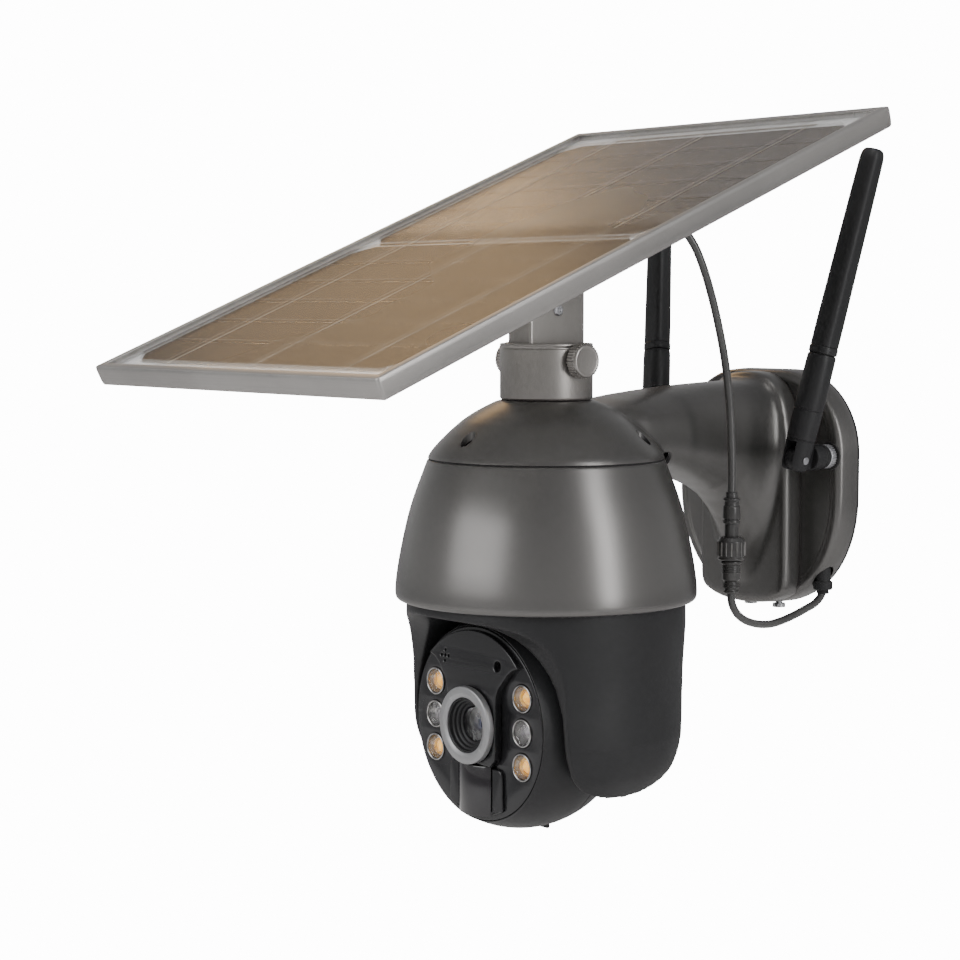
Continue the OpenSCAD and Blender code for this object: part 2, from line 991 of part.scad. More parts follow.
// ---------- solar panel ----------
module panel_frame() {
    color(c_metal)
        on_panel()
            difference() {
                translate([-panel_w / 2, -panel_l / 2, -8.2])
                    cube([panel_w, panel_l, 9]);
                translate([-panel_w / 2 + 4, -panel_l / 2 + 4, -9])
                    cube([panel_w - 8, panel_l - 8, 12]);
                translate([-panel_w / 2 + 1.5, -panel_l / 2 + 1.5, -4.2])
                    cube([panel_w - 3, panel_l - 3, 4.2]);
            }
}

module panel_glass() {
    color([0.2, 0.25, 0.3, 0.3])
        on_panel()
            translate([-panel_w / 2 + 1.6, -panel_l / 2 + 1.6, -2.2])
                cube([panel_w - 3.2, panel_l - 3.2, 2.2]);
}

module cell_sheet() {
    color([0.1, 0.08, 0.05])
        on_panel()
            translate([-91, -133, -2.8])
                cube([182, 266, 0.6]);
}

module back_sheet() {
    color([0.9, 0.9, 0.9])
        on_panel()
            translate([-panel_w / 2 + 1.6, -panel_l / 2 + 1.6, -4.1])
                cube([panel_w - 3.2, panel_l - 3.2, 1.3]);
}

module junction_box() {
    color(c_black)
        on_panel()
            difference() {
                union() {
                    translate([-22, 48, -15.6])
                        cube([44, 40, 11.5]);
                    translate([21, 60.5, -10])
                        xcyl(3, 0, 6);
                }
                translate([-20, 50, -14])
                    cube([40, 36, 8]);
                translate([18, 60.5, -10])
                    xcyl(1.9, 0, 12);
            }
}

module hinge_bracket() {
    color(c_metal) {
        on_panel()
            difference() {
                translate([-19, foot_v - 22, -6.6])
                    cube([38, 44, 2.5]);
                for (sx = [-1, 1])
                    for (sy = [-1, 1])
                        translate([sx * 15, foot_v + sy * 18, -9])
                            cylinder(r = 1.7, h = 6);
            }
        translate([0, ay, hinge_z])
            rotate([panel_a, 0, 0]) {
                for (s = [-1, 1])
                    difference() {
                        translate([s * 9.3 - 1.5, 0, 0])
                            rotate([90, 0, 90])
                                linear_extrude(3) {
                                    circle(7);
                                    polygon([[-7, 0], [7, 0], [14, 16.6], [-14, 16.6]]);
                                }
                    }
                xcyl(3, -12.4, 12.4);
                for (s = [-1, 1])
                    xcyl(5, s > 0 ? 10.7 : -14, s > 0 ? 14 : -10.7);
            }
    }
}

// ---------- antennas ----------
module at_antenna(s) {
    translate([s * ant_x, ant_y, ant_z])
        rotate([0, s * lean, 0])
            children();
}

module antenna_base(s) {
    color(c_black)
        at_antenna(s)
            difference() {
                union() {
                    ycyl(4.6, 14.4, 21.4);
                    ycyl(5.6, 8.6, 15);
                    for (k = [-1, 1])
                        translate([k * 4.6 - 1.4, -5, -5])
                            cube([2.8, 14.5, 10]);
                    xcyl(1.5, -7, 7);
                }
                ycyl(3.26, 18.2, 24);
            }
}

module antenna_blade(s) {
    color(c_black)
        at_antenna(s)
            rotate([-fold, 0, 0])
                difference() {
                    union() {
                        xcyl(4.4, -2.9, 2.9);
                        translate([-2.9, -4.4, 0])
                            cube([5.8, 8.8, 9]);
                        translate([0, 0, 8.6])
                            cylinder(r1 = 5.2, r2 = 6.5, h = 4);
                        translate([0, 0, 12.6])
                            cylinder(r = 6.5, h = 22);
                        translate([0, 0, 34.6])
                            cylinder(r1 = 6.5, r2 = 5.6, h = 14);
                        translate([0, 0, 48.6])
                            cylinder(r = 6.3, h = 3);
                        translate([0, 0, 51.6])
                            cylinder(r1 = 5.6, r2 = 5, h = ant_l - 56.6);
                        translate([0, 0, ant_l - 5])
                            sphere(r = 5);
                    }
                    xcyl(1.55, -8, 8);
                }
}

module antenna_base_right() {
    antenna_base(1);
}

module antenna_right() {
    antenna_blade(1);
}

module antenna_base_left() {
    antenna_base(-1);
}

module antenna_left() {
    antenna_blade(-1);
}

module thumb_screw_right() {
    thumb_screw(1);
}

module thumb_screw_left() {
    thumb_screw(-1);
}

base_shell();
wall_plate();
wall_gasket();
lock_screws();
battery_cells();
battery_clip();
arm_shell();
cap_screws();
seam_gasket();
dome_skirt();
dome_floor();
main_board();
modem_module();
pan_motor();
pan_bracket();
pan_bearing();
pan_pinion();
speaker();
sma_sockets();
cable_gland();
pigtail();
connector_socket();
union_nut();
connector_plug();
panel_lead();
yoke_shell();
pan_gear();
tilt_axle_left();
tilt_axle_right();
tilt_gear();
ball_shell();
face_plate();
centre_plate();
lens_ring();
lens_barrel();
lens_glass();
sensor_board();
led_cups();
white_leds();
ir_leds();
motion_window();
tilt_motor();
tilt_pinion();
card_cover();
card_reader();
reset_button();
collar();
post();
thumb_screw_right();
thumb_screw_left();
panel_frame();
panel_glass();
cell_sheet();
back_sheet();
junction_box();
hinge_bracket();
antenna_base_right();
antenna_right();
antenna_base_left();
antenna_left();
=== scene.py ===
"""Solar-powered pan and tilt camera on a wall arm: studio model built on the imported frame.

Everything is worked out in millimetres and turned into metres as each mesh is made.
"""
import math

import bmesh
import bpy
from mathutils import Matrix, Vector
from mathutils.geometry import tessellate_polygon


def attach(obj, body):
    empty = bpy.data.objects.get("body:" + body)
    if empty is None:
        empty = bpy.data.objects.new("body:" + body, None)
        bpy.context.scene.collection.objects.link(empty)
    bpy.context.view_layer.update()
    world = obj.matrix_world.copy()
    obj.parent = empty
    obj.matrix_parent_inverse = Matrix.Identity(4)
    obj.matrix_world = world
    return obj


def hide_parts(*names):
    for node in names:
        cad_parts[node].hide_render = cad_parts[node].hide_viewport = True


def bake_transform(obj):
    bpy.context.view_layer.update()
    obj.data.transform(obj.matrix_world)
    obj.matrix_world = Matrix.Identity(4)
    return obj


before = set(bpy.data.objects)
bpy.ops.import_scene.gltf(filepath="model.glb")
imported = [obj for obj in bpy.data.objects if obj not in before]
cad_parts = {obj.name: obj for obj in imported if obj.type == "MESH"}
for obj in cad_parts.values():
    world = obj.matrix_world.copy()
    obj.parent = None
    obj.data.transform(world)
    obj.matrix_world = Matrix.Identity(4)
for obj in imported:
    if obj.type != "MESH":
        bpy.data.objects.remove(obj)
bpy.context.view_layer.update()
MM = 0.001

PAN_Y = -145.0       # pan axis
BALL_Y = -160.0      # centre of the camera ball
TILT_Z = -92.0
HINGE_Z = 100.0      # panel hinge
PANEL_W, PANEL_L, PANEL_A = 196.0, 292.0, 22.0
ANT_X, ANT_Y, ANT_Z = 45.2, -36.2, 16.4
CONNECTOR_X, CONNECTOR_Y = 45.0, -77.0      # the in-line connector hangs here
GLAND_X, GLAND_Y = 37.0, -8.0
CAP_SCREW_R, CAP_SCREW_ANGLES = 43.4, (0, 120, 240)
THUMB_Z = 61.2          # the two hand screws through the collar
BALL_R = 47.4
LED_X, LED_STEP = 28.7, 14.4

AT_BALL = Matrix.Translation((0, BALL_Y, TILT_Z))
AT_DOME = Matrix.Translation((0, PAN_Y, 0))
AT_HINGE = Matrix.Translation((0, PAN_Y, HINGE_Z)) @ Matrix.Rotation(math.radians(PANEL_A), 4, "X")
AT_PANEL = AT_HINGE @ Matrix.Translation((0, -21.7, 23))


# ---------------------------------------------------------------- camera
def set_camera():
    data = bpy.data.cameras.new("studio_camera")
    data.sensor_width = 36
    data.lens = 82.13
    data.clip_start, data.clip_end = 0.01, 200
    cam = bpy.data.objects.new("studio_camera", data)
    az, down = math.radians(50.44), math.radians(4.6)
    cam.location = Vector((707.5, -766.4, 85.2)) * MM
    cam.rotation_euler = (math.pi / 2 - down, 0, az)
    bpy.context.scene.collection.objects.link(cam)
    bpy.context.scene.camera = cam


set_camera()


# ---------------------------------------------------------------- shader groups
def group_tree(name, ins, outs):
    tree = bpy.data.node_groups.new(name, "ShaderNodeTree")
    for label, kind, value in ins:
        s = tree.interface.new_socket(name=label, in_out="INPUT", socket_type=kind)
        if value is not None:
            s.default_value = value
    for label, kind in outs:
        tree.interface.new_socket(name=label, in_out="OUTPUT", socket_type=kind)
    return tree, tree.nodes.new("NodeGroupInput"), tree.nodes.new("NodeGroupOutput")


def node(tree, kind, **values):
    n = tree.nodes.new(kind)
    for key, value in values.items():
        setattr(n, key, value)
    return n


def remap(tree, source, a, b, lo=0.0, hi=1.0, smooth=True):
    m = node(tree, "ShaderNodeMapRange", interpolation_type="SMOOTHSTEP" if smooth else "LINEAR")
    for i, v in ((1, a), (2, b), (3, lo), (4, hi)):
        m.inputs[i].default_value = v
    tree.links.new(source, m.inputs[0])
    return m.outputs[0]


def times(tree, a, b, op="MULTIPLY"):
    m = node(tree, "ShaderNodeMath", operation=op)
    for i, v in ((0, a), (1, b)):
        if isinstance(v, (int, float)):
            m.inputs[i].default_value = v
        else:
            tree.links.new(v, m.inputs[i])
    return m.outputs[0]


F, V = "NodeSocketFloat", "NodeSocketVector"


def make_grain():
    """Broad tone changes and a fine height for moulded, painted and cast skins."""
    t, gi, go = group_tree("grain", [("Vector", V, None), ("Broad", F, 14.0), ("Fine", F, 900.0)],
                           [("Tone", F), ("Height", F)])
    broad = node(t, "ShaderNodeTexNoise")
    broad.inputs["Detail"].default_value = 3
    fine = node(t, "ShaderNodeTexNoise")
    fine.inputs["Detail"].default_value = 2
    for n, s in ((broad, "Broad"), (fine, "Fine")):
        t.links.new(gi.outputs["Vector"], n.inputs["Vector"])
        t.links.new(gi.outputs[s], n.inputs["Scale"])
    t.links.new(remap(t, broad.outputs[0], 0.35, 0.65), go.inputs["Tone"])
    t.links.new(fine.outputs[0], go.inputs["Height"])
    return t


def make_wear():
    """Mask along convex edges, broken up by noise."""
    t, gi, go = group_tree("edge_wear", [("Vector", V, None), ("Amount", F, 0.5), ("Scale", F, 120.0)],
                           [("Mask", F)])
    geo = node(t, "ShaderNodeNewGeometry")
    edge = remap(t, geo.outputs["Pointiness"], 0.53, 0.62)
    noise = node(t, "ShaderNodeTexNoise")
    noise.inputs["Detail"].default_value = 4
    t.links.new(gi.outputs["Vector"], noise.inputs["Vector"])
    t.links.new(gi.outputs["Scale"], noise.inputs["Scale"])
    broken = times(t, edge, remap(t, noise.outputs[0], 0.3, 0.65))
    t.links.new(times(t, broken, gi.outputs["Amount"]), go.inputs["Mask"])
    return t


def make_dust():
    """Thin dust on faces that look up."""
    t, gi, go = group_tree("dust", [("Vector", V, None), ("Amount", F, 0.2)], [("Mask", F)])
    geo = node(t, "ShaderNodeNewGeometry")
    split = node(t, "ShaderNodeSeparateXYZ")
    t.links.new(geo.outputs["Normal"], split.inputs[0])
    up = remap(t, split.outputs[2], 0.2, 0.95)
    noise = node(t, "ShaderNodeTexNoise")
    noise.inputs["Scale"].default_value = 45
    noise.inputs["Detail"].default_value = 5
    t.links.new(gi.outputs["Vector"], noise.inputs["Vector"])
    spread = times(t, up, remap(t, noise.outputs[0], 0.3, 0.7))
    t.links.new(times(t, spread, gi.outputs["Amount"]), go.inputs["Mask"])
    return t


def make_brushing():
    """Fine parallel drawing lines; the vector comes in already stretched."""
    t, gi, go = group_tree("drawn_lines", [("Vector", V, None), ("Scale", F, 1.0)],
                           [("Lines", F), ("Height", F)])
    noise = node(t, "ShaderNodeTexNoise")
    noise.inputs["Detail"].default_value = 6
    noise.inputs["Roughness"].default_value = 0.7
    t.links.new(gi.outputs["Vector"], noise.inputs["Vector"])
    t.links.new(gi.outputs["Scale"], noise.inputs["Scale"])
    t.links.new(remap(t, noise.outputs[0], 0.3, 0.7), go.inputs["Lines"])
    t.links.new(noise.outputs[0], go.inputs["Height"])
    return t


GRAIN, WEAR, DUST, LINES = make_grain(), make_wear(), make_dust(), make_brushing()


def placed(tree, group, **values):
    n = node(tree, "ShaderNodeGroup", node_tree=group)
    for key, value in values.items():
        n.inputs[key].default_value = value
    return n


def mixed(tree, mask, a, b, blend="MIX"):
    m = node(tree, "ShaderNodeMix", data_type="RGBA", blend_type=blend)
    for i, v in ((0, mask), (6, a), (7, b)):
        if isinstance(v, (int, float)):
            m.inputs[i].default_value = v
        elif isinstance(v, (tuple, list)):
            m.inputs[i].default_value = (*v[:3], 1)
        else:
            tree.links.new(v, m.inputs[i])
    return m.outputs[2]


def finish(name, light, dark, rough=(0.4, 0.5), metal=0.0, broad=14, fine=900, bump=0.12,
           wear=0.0, worn=(0.4, 0.4, 0.4), dust=0.0, lines=None, coat=0.0, coat_rough=0.1,
           specular=0.5, through=0.0, ior=1.45, glow=None, alpha=1.0, height=0.0002):
    """A finish from two tones, fine grain, worn edges, dust and, for drawn metal, fine lines; glow paints a
    glow by making the surface give off its own colour.
    """
    mat = bpy.data.materials.new(name)
    mat.use_nodes = True
    t = mat.node_tree
    t.nodes.clear()
    out = node(t, "ShaderNodeOutputMaterial")
    skin = node(t, "ShaderNodeBsdfPrincipled")
    t.links.new(skin.outputs[0], out.inputs[0])
    coord = node(t, "ShaderNodeTexCoord").outputs["Object"]
    grain = placed(t, GRAIN, Broad=float(broad), Fine=float(fine))
    t.links.new(coord, grain.inputs["Vector"])
    colour = mixed(t, grain.outputs["Tone"], light, dark)
    rough_tone, bump_height = grain.outputs["Tone"], grain.outputs["Height"]
    if lines:
        mapping = node(t, "ShaderNodeMapping")
        mapping.inputs["Scale"].default_value = lines
        t.links.new(coord, mapping.inputs["Vector"])
        drawn = placed(t, LINES, Scale=1.0)
        t.links.new(mapping.outputs[0], drawn.inputs["Vector"])
        colour = mixed(t, times(t, drawn.outputs["Lines"], 0.35), colour, dark)
        rough_tone, bump_height = drawn.outputs["Lines"], drawn.outputs["Height"]
    if wear:
        rub = placed(t, WEAR, Amount=wear)
        t.links.new(coord, rub.inputs["Vector"])
        colour = mixed(t, rub.outputs["Mask"], colour, worn)
    if dust:
        film = placed(t, DUST, Amount=dust)
        t.links.new(coord, film.inputs["Vector"])
        colour = mixed(t, film.outputs["Mask"], colour, (0.42, 0.4, 0.37))
    t.links.new(colour, skin.inputs["Base Color"])
    t.links.new(remap(t, rough_tone, 0, 1, rough[0], rough[1], smooth=False), skin.inputs["Roughness"])
    lump = node(t, "ShaderNodeBump")
    lump.inputs["Strength"].default_value = bump
    lump.inputs["Distance"].default_value = height
    t.links.new(bump_height, lump.inputs["Height"])
    t.links.new(lump.outputs[0], skin.inputs["Normal"])
    skin.inputs["Metallic"].default_value = metal
    skin.inputs["Specular IOR Level"].default_value = specular
    skin.inputs["IOR"].default_value = ior
    skin.inputs["Coat Weight"].default_value = coat
    skin.inputs["Coat Roughness"].default_value = coat_rough
    skin.inputs["Transmission Weight"].default_value = through
    skin.inputs["Alpha"].default_value = alpha
    # painted glow: the surface gives off its own colour, though it is no lamp
    if glow:
        t.links.new(colour, skin.inputs["Emission Color"])
        skin.inputs["Emission Strength"].default_value = glow
    return mat


GUNMETAL = finish("gunmetal_paint", (0.155, 0.150, 0.145), (0.135, 0.131, 0.127), (0.30, 0.36),
                  metal=0.75, broad=9, fine=2600, bump=0.10, wear=0.25, worn=(0.3, 0.29, 0.28), dust=0.05,
                  coat=0.15, coat_rough=0.25, height=0.00006)
BLACK = finish("black_moulding", (0.017, 0.017, 0.018), (0.013, 0.013, 0.014), (0.42, 0.52), broad=20,
               fine=2200, bump=0.25, wear=0.2, worn=(0.07, 0.07, 0.07), specular=0.42, height=0.00008)
FACE = finish("face_black", (0.010, 0.010, 0.011), (0.008, 0.008, 0.009), (0.22, 0.30), broad=22, fine=2500,
              bump=0.12, wear=0.35, worn=(0.09, 0.09, 0.09), coat=0.25, coat_rough=0.2, height=0.00005)
WINDOW = finish("dark_window", (0.006, 0.005, 0.006), (0.010, 0.008, 0.010), (0.10, 0.16), broad=30,
                fine=1500, bump=0.05, coat=0.8, coat_rough=0.06, height=0.00004)
WARM_METAL = finish("warm_grey_casting", (0.335, 0.318, 0.300), (0.285, 0.270, 0.256), (0.32, 0.40),
                    metal=0.8, broad=12, fine=2400, bump=0.12, wear=0.4, worn=(0.6, 0.58, 0.55), dust=0.04,
                    coat=0.1, coat_rough=0.3, height=0.00006)
RAIL = finish("anodised_rail", (0.40, 0.385, 0.37), (0.335, 0.322, 0.31), (0.34, 0.44), metal=0.85,
              bump=0.15,
              lines=(14, 2600, 2600), wear=0.5, worn=(0.75, 0.74, 0.72), dust=0.06, height=0.00004)
RAIL_END = finish("anodised_rail_end", (0.40, 0.385, 0.37), (0.335, 0.322, 0.31), (0.34, 0.44), metal=0.85,
                  bump=0.15, lines=(2600, 14, 14), wear=0.5, worn=(0.75, 0.74, 0.72), dust=0.06,
                  height=0.00004)
STEEL = finish("zinc_plated_steel", (0.56, 0.56, 0.57), (0.44, 0.44, 0.46), (0.24, 0.38), metal=1.0,
               bump=0.2,
               lines=(300, 300, 2600), wear=0.3, worn=(0.8, 0.8, 0.8), height=0.00004)
RUBBER = finish("rubber", (0.022, 0.022, 0.023), (0.032, 0.031, 0.031), (0.62, 0.75), broad=30, fine=1700,
                bump=0.35, dust=0.12, specular=0.35, height=0.0001)
CABLE = finish("cable_jacket", (0.070, 0.069, 0.067), (0.050, 0.049, 0.048), (0.28, 0.36), broad=40,
               fine=1900, bump=0.15, wear=0.2, worn=(0.2, 0.2, 0.2), coat=0.3, coat_rough=0.25,
               height=0.00006)
PLUG = finish("connector_nylon", (0.050, 0.048, 0.046), (0.034, 0.033, 0.032), (0.28, 0.38), broad=30,
              fine=1900,
              bump=0.15, wear=0.6, worn=(0.22, 0.21, 0.2), coat=0.3, coat_rough=0.22, height=0.00006)
BOARD = finish("circuit_board", (0.012, 0.085, 0.035), (0.02, 0.12, 0.05), (0.3, 0.42), broad=160, fine=1200,
               bump=0.4, wear=0.8, worn=(0.55, 0.42, 0.16), coat=0.4, coat_rough=0.2)
WRAP = finish("cell_wrap", (0.03, 0.11, 0.32), (0.02, 0.085, 0.26), (0.2, 0.3), broad=25, fine=600, bump=0.1,
              wear=0.5, worn=(0.5, 0.5, 0.5), coat=0.6, coat_rough=0.12)
NYLON = finish("natural_nylon", (0.72, 0.70, 0.64), (0.62, 0.60, 0.54), (0.42, 0.55), broad=25, fine=1500,
               bump=0.2, wear=0.3, worn=(0.82, 0.8, 0.75))
BRASS = finish("brass", (0.62, 0.43, 0.16), (0.5, 0.34, 0.12), (0.2, 0.34), metal=1.0, bump=0.2,
               lines=(400, 400, 2400), wear=0.5, worn=(0.85, 0.68, 0.35), height=0.00004)
SHEET = finish("white_back_sheet", (0.74, 0.74, 0.735), (0.69, 0.69, 0.68), (0.45, 0.58), broad=35,
               fine=1300,
               bump=0.25, dust=0.1)
GLASS = finish("panel_glass", (1, 1, 1), (0.97, 0.98, 0.98), (0.22, 0.30), broad=6, fine=500, bump=0.02,
               through=1.0, ior=1.12, specular=0.2, alpha=0.3, height=0.00003)
RING = finish("lens_ring_satin", (0.36, 0.36, 0.365), (0.31, 0.31, 0.315), (0.34, 0.44), metal=0.7, broad=40,
              fine=2600, bump=0.15, wear=0.5, worn=(0.6, 0.6, 0.6), height=0.00004)
REFLECTOR = finish("led_reflector", (0.42, 0.41, 0.40), (0.30, 0.295, 0.29), (0.16, 0.26), metal=1.0,
                   broad=300,
                   fine=900, bump=0.1, height=0.00004)
CLEAR = finish("clear_lens_cover", (0.98, 0.98, 0.98), (0.93, 0.94, 0.95), (0.02, 0.06), broad=80, fine=400,
               bump=0.03, through=1.0, ior=1.46, alpha=0.22, height=0.00003)
# phosphor colour of the LED chips, with a painted glow from the emission
PHOSPHOR_PAINTED_GLOW = finish("warm_phosphor_painted_glow", (1.0, 0.52, 0.06), (0.82, 0.34, 0.02), (0.3, 0.42), broad=420, fine=2500,
                  bump=0.3, glow=1.1, height=0.0001)
IR_CHIP = finish("infrared_emitter", (0.34, 0.32, 0.33), (0.20, 0.18, 0.2), (0.15, 0.3), broad=350,
                 fine=1500,
                 bump=0.2, coat=0.7, coat_rough=0.05)
OPTIC = finish("coated_optic", (0.010, 0.03, 0.12), (0.03, 0.008, 0.07), (0.02, 0.05), broad=90, fine=300,
               bump=0.02, coat=1.0, coat_rough=0.02, specular=0.9, height=0.00002)


# ---------------------------------------------------------------- shaping tools
def eased(points, cut, steps=3, closed=False):
    """The outline with each corner rounded; cut is one size or one for each corner."""
    n, out = len(points), []
    for i, p in enumerate(points):
        size = cut[i] if isinstance(cut, (list, tuple)) else cut
        if size <= 0 or (not closed and i in (0, n - 1)):
            out.append(tuple(p))
            continue
        p = Vector(p)
        a, b = Vector(points[i - 1]) - p, Vector(points[(i + 1) % n]) - p
        a = p + a.normalized() * min(size, a.length * 0.45)
        b = p + b.normalized() * min(size, b.length * 0.45)
        for k in range(steps + 1):
            s = k / steps
            out.append(tuple(a * (1 - s) ** 2 + p * (2 * s * (1 - s)) + b * s * s))
    return out


def curved(points, steps=6, closed=False):
    """A smooth line through the points."""
    n, out = len(points), []
    for i in range(n if closed else n - 1):
        if closed:
            p = [Vector(points[(i + k) % n]) for k in (-1, 0, 1, 2)]
        else:
            p = [Vector(points[min(max(i + k, 0), n - 1)]) for k in (-1, 0, 1, 2)]
        for k in range(steps):
            s = k / steps
            out.append(0.5 * (2 * p[1] + (p[2] - p[0]) * s + (2 * p[0] - 5 * p[1] + 4 * p[2] - p[3]) * s * s
                              + (3 * p[1] - p[0] - 3 * p[2] + p[3]) * s ** 3))
    if not closed:
        out.append(Vector(points[-1]))
    return out


def shell_of(verts, faces, merge=0.0004, name="shape"):
    """A closed mesh from millimetre points, with its faces turned outwards."""
    bm = bmesh.new()
    vs = [bm.verts.new((v[0] * MM, v[1] * MM, v[2] * MM)) for v in verts]
    for f in faces:
        if len(set(f)) > 2:
            try:
                bm.faces.new([vs[i] for i in f])
            except ValueError:
                pass
    bmesh.ops.remove_doubles(bm, verts=bm.verts, dist=merge * MM)
    bmesh.ops.dissolve_degenerate(bm, edges=bm.edges, dist=1e-8)
    bmesh.ops.recalc_face_normals(bm, faces=bm.faces)
    me = bpy.data.meshes.new(name)
    bm.to_mesh(me)
    bm.free()
    return me


def moved(me, matrix):
    """The mesh carried by a millimetre transform."""
    m = matrix.copy()
    m.translation = m.translation * MM
    me.transform(m)
    if m.determinant() < 0:
        me.flip_normals()
    return me


def turned(profile, segs=96, axis="Z"):
    """A profile of (radius, height) turned round an axis; it ends on the axis or closes on itself."""
    poles = profile[0][0] < 1e-6 and profile[-1][0] < 1e-6
    verts, faces, n = [], [], len(profile)
    for r, h in profile:
        for k in range(segs):
            a = 2 * math.pi * k / segs
            c, s = r * math.cos(a), r * math.sin(a)
            verts.append({"Z": (c, s, h), "Y": (c, h, s), "X": (h, c, s)}[axis])
    for j in range(n - 1 if poles else n):
        for k in range(segs):
            a, b = j * segs, ((j + 1) % n) * segs
            faces.append((a + k, a + (k + 1) % segs, b + (k + 1) % segs, b + k))
    return shell_of(verts, faces)


def lofted(rings):
    """A closed skin over rings of points, capped at both ends."""
    k = len(rings[0])
    verts = [p for ring in rings for p in ring]
    faces = []
    for j in range(len(rings) - 1):
        for i in range(k):
            faces.append((j * k + i, j * k + (i + 1) % k, (j + 1) * k + (i + 1) % k, (j + 1) * k + i))
    for j in (0, len(rings) - 1):
        centre = sum((Vector(p) for p in rings[j]), Vector()) / k
        verts.append(centre)
        faces += [(j * k + i, j * k + (i + 1) % k, len(verts) - 1) for i in range(k)]
    return shell_of(verts, faces)


def offset_loop(loop, d):
    out, n = [], len(loop)
    for i in range(n):
        p = Vector(loop[i])
        a, b = (p - Vector(loop[i - 1])).normalized(), (Vector(loop[(i + 1) % n]) - p).normalized()
        na, nb = Vector((-a.y, a.x)), Vector((-b.y, b.x))
        out.append(p + (na + nb) * (d / max(0.35, 1 + na.dot(nb))))
    return out


def plate(loops, z0, z1, bevel=0.4, steps=2):
    """A flat plate between two heights with rounded edges; loops after the first are holes."""
    def area(p):
        return sum(p[i - 1][0] * p[i][1] - p[i][0] * p[i - 1][1] for i in range(len(p)))
    verts, faces = [], []
    levels = [(z0 + bevel * (1 - math.cos(t)), bevel * (1 - math.sin(t)))
              for t in (math.pi / 2 * k / steps for k in range(steps + 1))]
    levels += [(z0 + z1 - z, d) for z, d in reversed(levels)]
    caps = ([], [])
    for i, loop in enumerate(loops):
        loop = [Vector((p[0], p[1])) for p in loop]
        if (area(loop) > 0) != (i == 0):
            loop.reverse()
        k, first = len(loop), len(verts)
        for z, d in levels:
            verts += [(q.x, q.y, z) for q in offset_loop(loop, d)]
        for j in range(len(levels) - 1):
            a, b = first + j * k, first + (j + 1) * k
            faces += [(a + m, a + (m + 1) % k, b + (m + 1) % k, b + m) for m in range(k)]
        caps[0].append(list(range(first, first + k)))
        caps[1].append(list(range(first + (len(levels) - 1) * k, first + len(levels) * k)))
    for cap in caps:
        flat = [i for ring in cap for i in ring]
        tris = tessellate_polygon([[Vector(verts[i]) for i in ring] for ring in cap])
        faces += [tuple(flat[i] for i in tri) for tri in tris]
    return shell_of(verts, faces, merge=0.0001)


def box_outline(w, h, r=1.0, at=(0, 0), steps=4):
    x, y = w / 2, h / 2
    pts = [(at[0] + sx * x, at[1] + sy * y) for sx, sy in ((-1, -1), (1, -1), (1, 1), (-1, 1))]
    return eased(pts, r, steps, closed=True) if r > 0 else pts


def round_outline(r, at=(0, 0), n=48):
    return [(at[0] + r * math.cos(2 * math.pi * k / n), at[1] + r * math.sin(2 * math.pi * k / n))
            for k in range(n)]


def block(x, y, z, r=0.6):
    """A block between two corners with rounded edges."""
    me = plate([box_outline(x[1] - x[0], y[1] - y[0], r * 1.6, ((x[0] + x[1]) / 2, (y[0] + y[1]) / 2))],
               z[0], z[1], r)
    return me


def swept(path, radius, sides=16):
    """A round bar along a path; radius is a number or one for each point."""
    path = [Vector(p) for p in path]
    n = len(path)
    tangent = [(path[min(i + 1, n - 1)] - path[max(i - 1, 0)]).normalized() for i in range(n)]
    side = tangent[0].orthogonal().normalized()
    rings = []
    for i in range(n):
        side = (side - tangent[i] * side.dot(tangent[i])).normalized()
        other = tangent[i].cross(side)
        r = radius[i] if isinstance(radius, (list, tuple)) else radius
        rings.append([path[i] + (side * math.cos(a) + other * math.sin(a)) * r
                      for a in (2 * math.pi * k / sides for k in range(sides))])
    return lofted(rings)


def as_object(me, name="work"):
    ob = bpy.data.objects.new(name, me)
    bpy.context.scene.collection.objects.link(ob)
    return ob


def evaluated(ob):
    """The object's mesh with its modifiers applied; the object goes away."""
    bpy.context.view_layer.update()
    graph = bpy.context.evaluated_depsgraph_get()
    me = bpy.data.meshes.new_from_object(ob.evaluated_get(graph), depsgraph=graph)
    bpy.data.objects.remove(ob)
    return me


def combined(me, other, how="DIFFERENCE"):
    ob, tool = as_object(me), as_object(other, "tool")
    mod = ob.modifiers.new("cut", "BOOLEAN")
    mod.operation, mod.object, mod.solver = how, tool, "MANIFOLD"
    out = evaluated(ob)
    bpy.data.objects.remove(tool)
    if len(out.polygons) < 4:
        raise RuntimeError("a cut came out empty")
    return out


def softened(me, voxel, turns=3, strength=0.5):
    """The shape rebuilt in even small faces with its edges eased."""
    ob = as_object(me)
    mod = ob.modifiers.new("rebuild", "REMESH")
    mod.mode, mod.voxel_size, mod.use_smooth_shade = "VOXEL", voxel * MM, True
    if turns:
        ease = ob.modifiers.new("ease", "SMOOTH")
        ease.iterations, ease.factor = turns, strength
    return evaluated(ob)


def joined(meshes):
    bm = bmesh.new()
    for me in meshes:
        bm.from_mesh(me)
    out = bpy.data.meshes.new("joined")
    bm.to_mesh(out)
    bm.free()
    return out


def piece(name, parts, body, stands_for=(), crease=34):
    """One finished object from (mesh, material) pairs, riding on a body."""
    bm, finishes = bmesh.new(), []
    for me, mat in parts:
        if mat not in finishes:
            finishes.append(mat)
        first = len(bm.faces)
        bm.from_mesh(me)
        bm.faces.ensure_lookup_table()
        for f in bm.faces[first:]:
            f.material_index = finishes.index(mat)
            f.smooth = True
    me = bpy.data.meshes.new(name)
    bm.to_mesh(me)
    bm.free()
    for mat in finishes:
        me.materials.append(mat)
    me.set_sharp_from_angle(angle=math.radians(crease))
    ob = as_object(me, name)
    if body:
        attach(ob, body)
    if stands_for:
        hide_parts(*stands_for)
    return ob


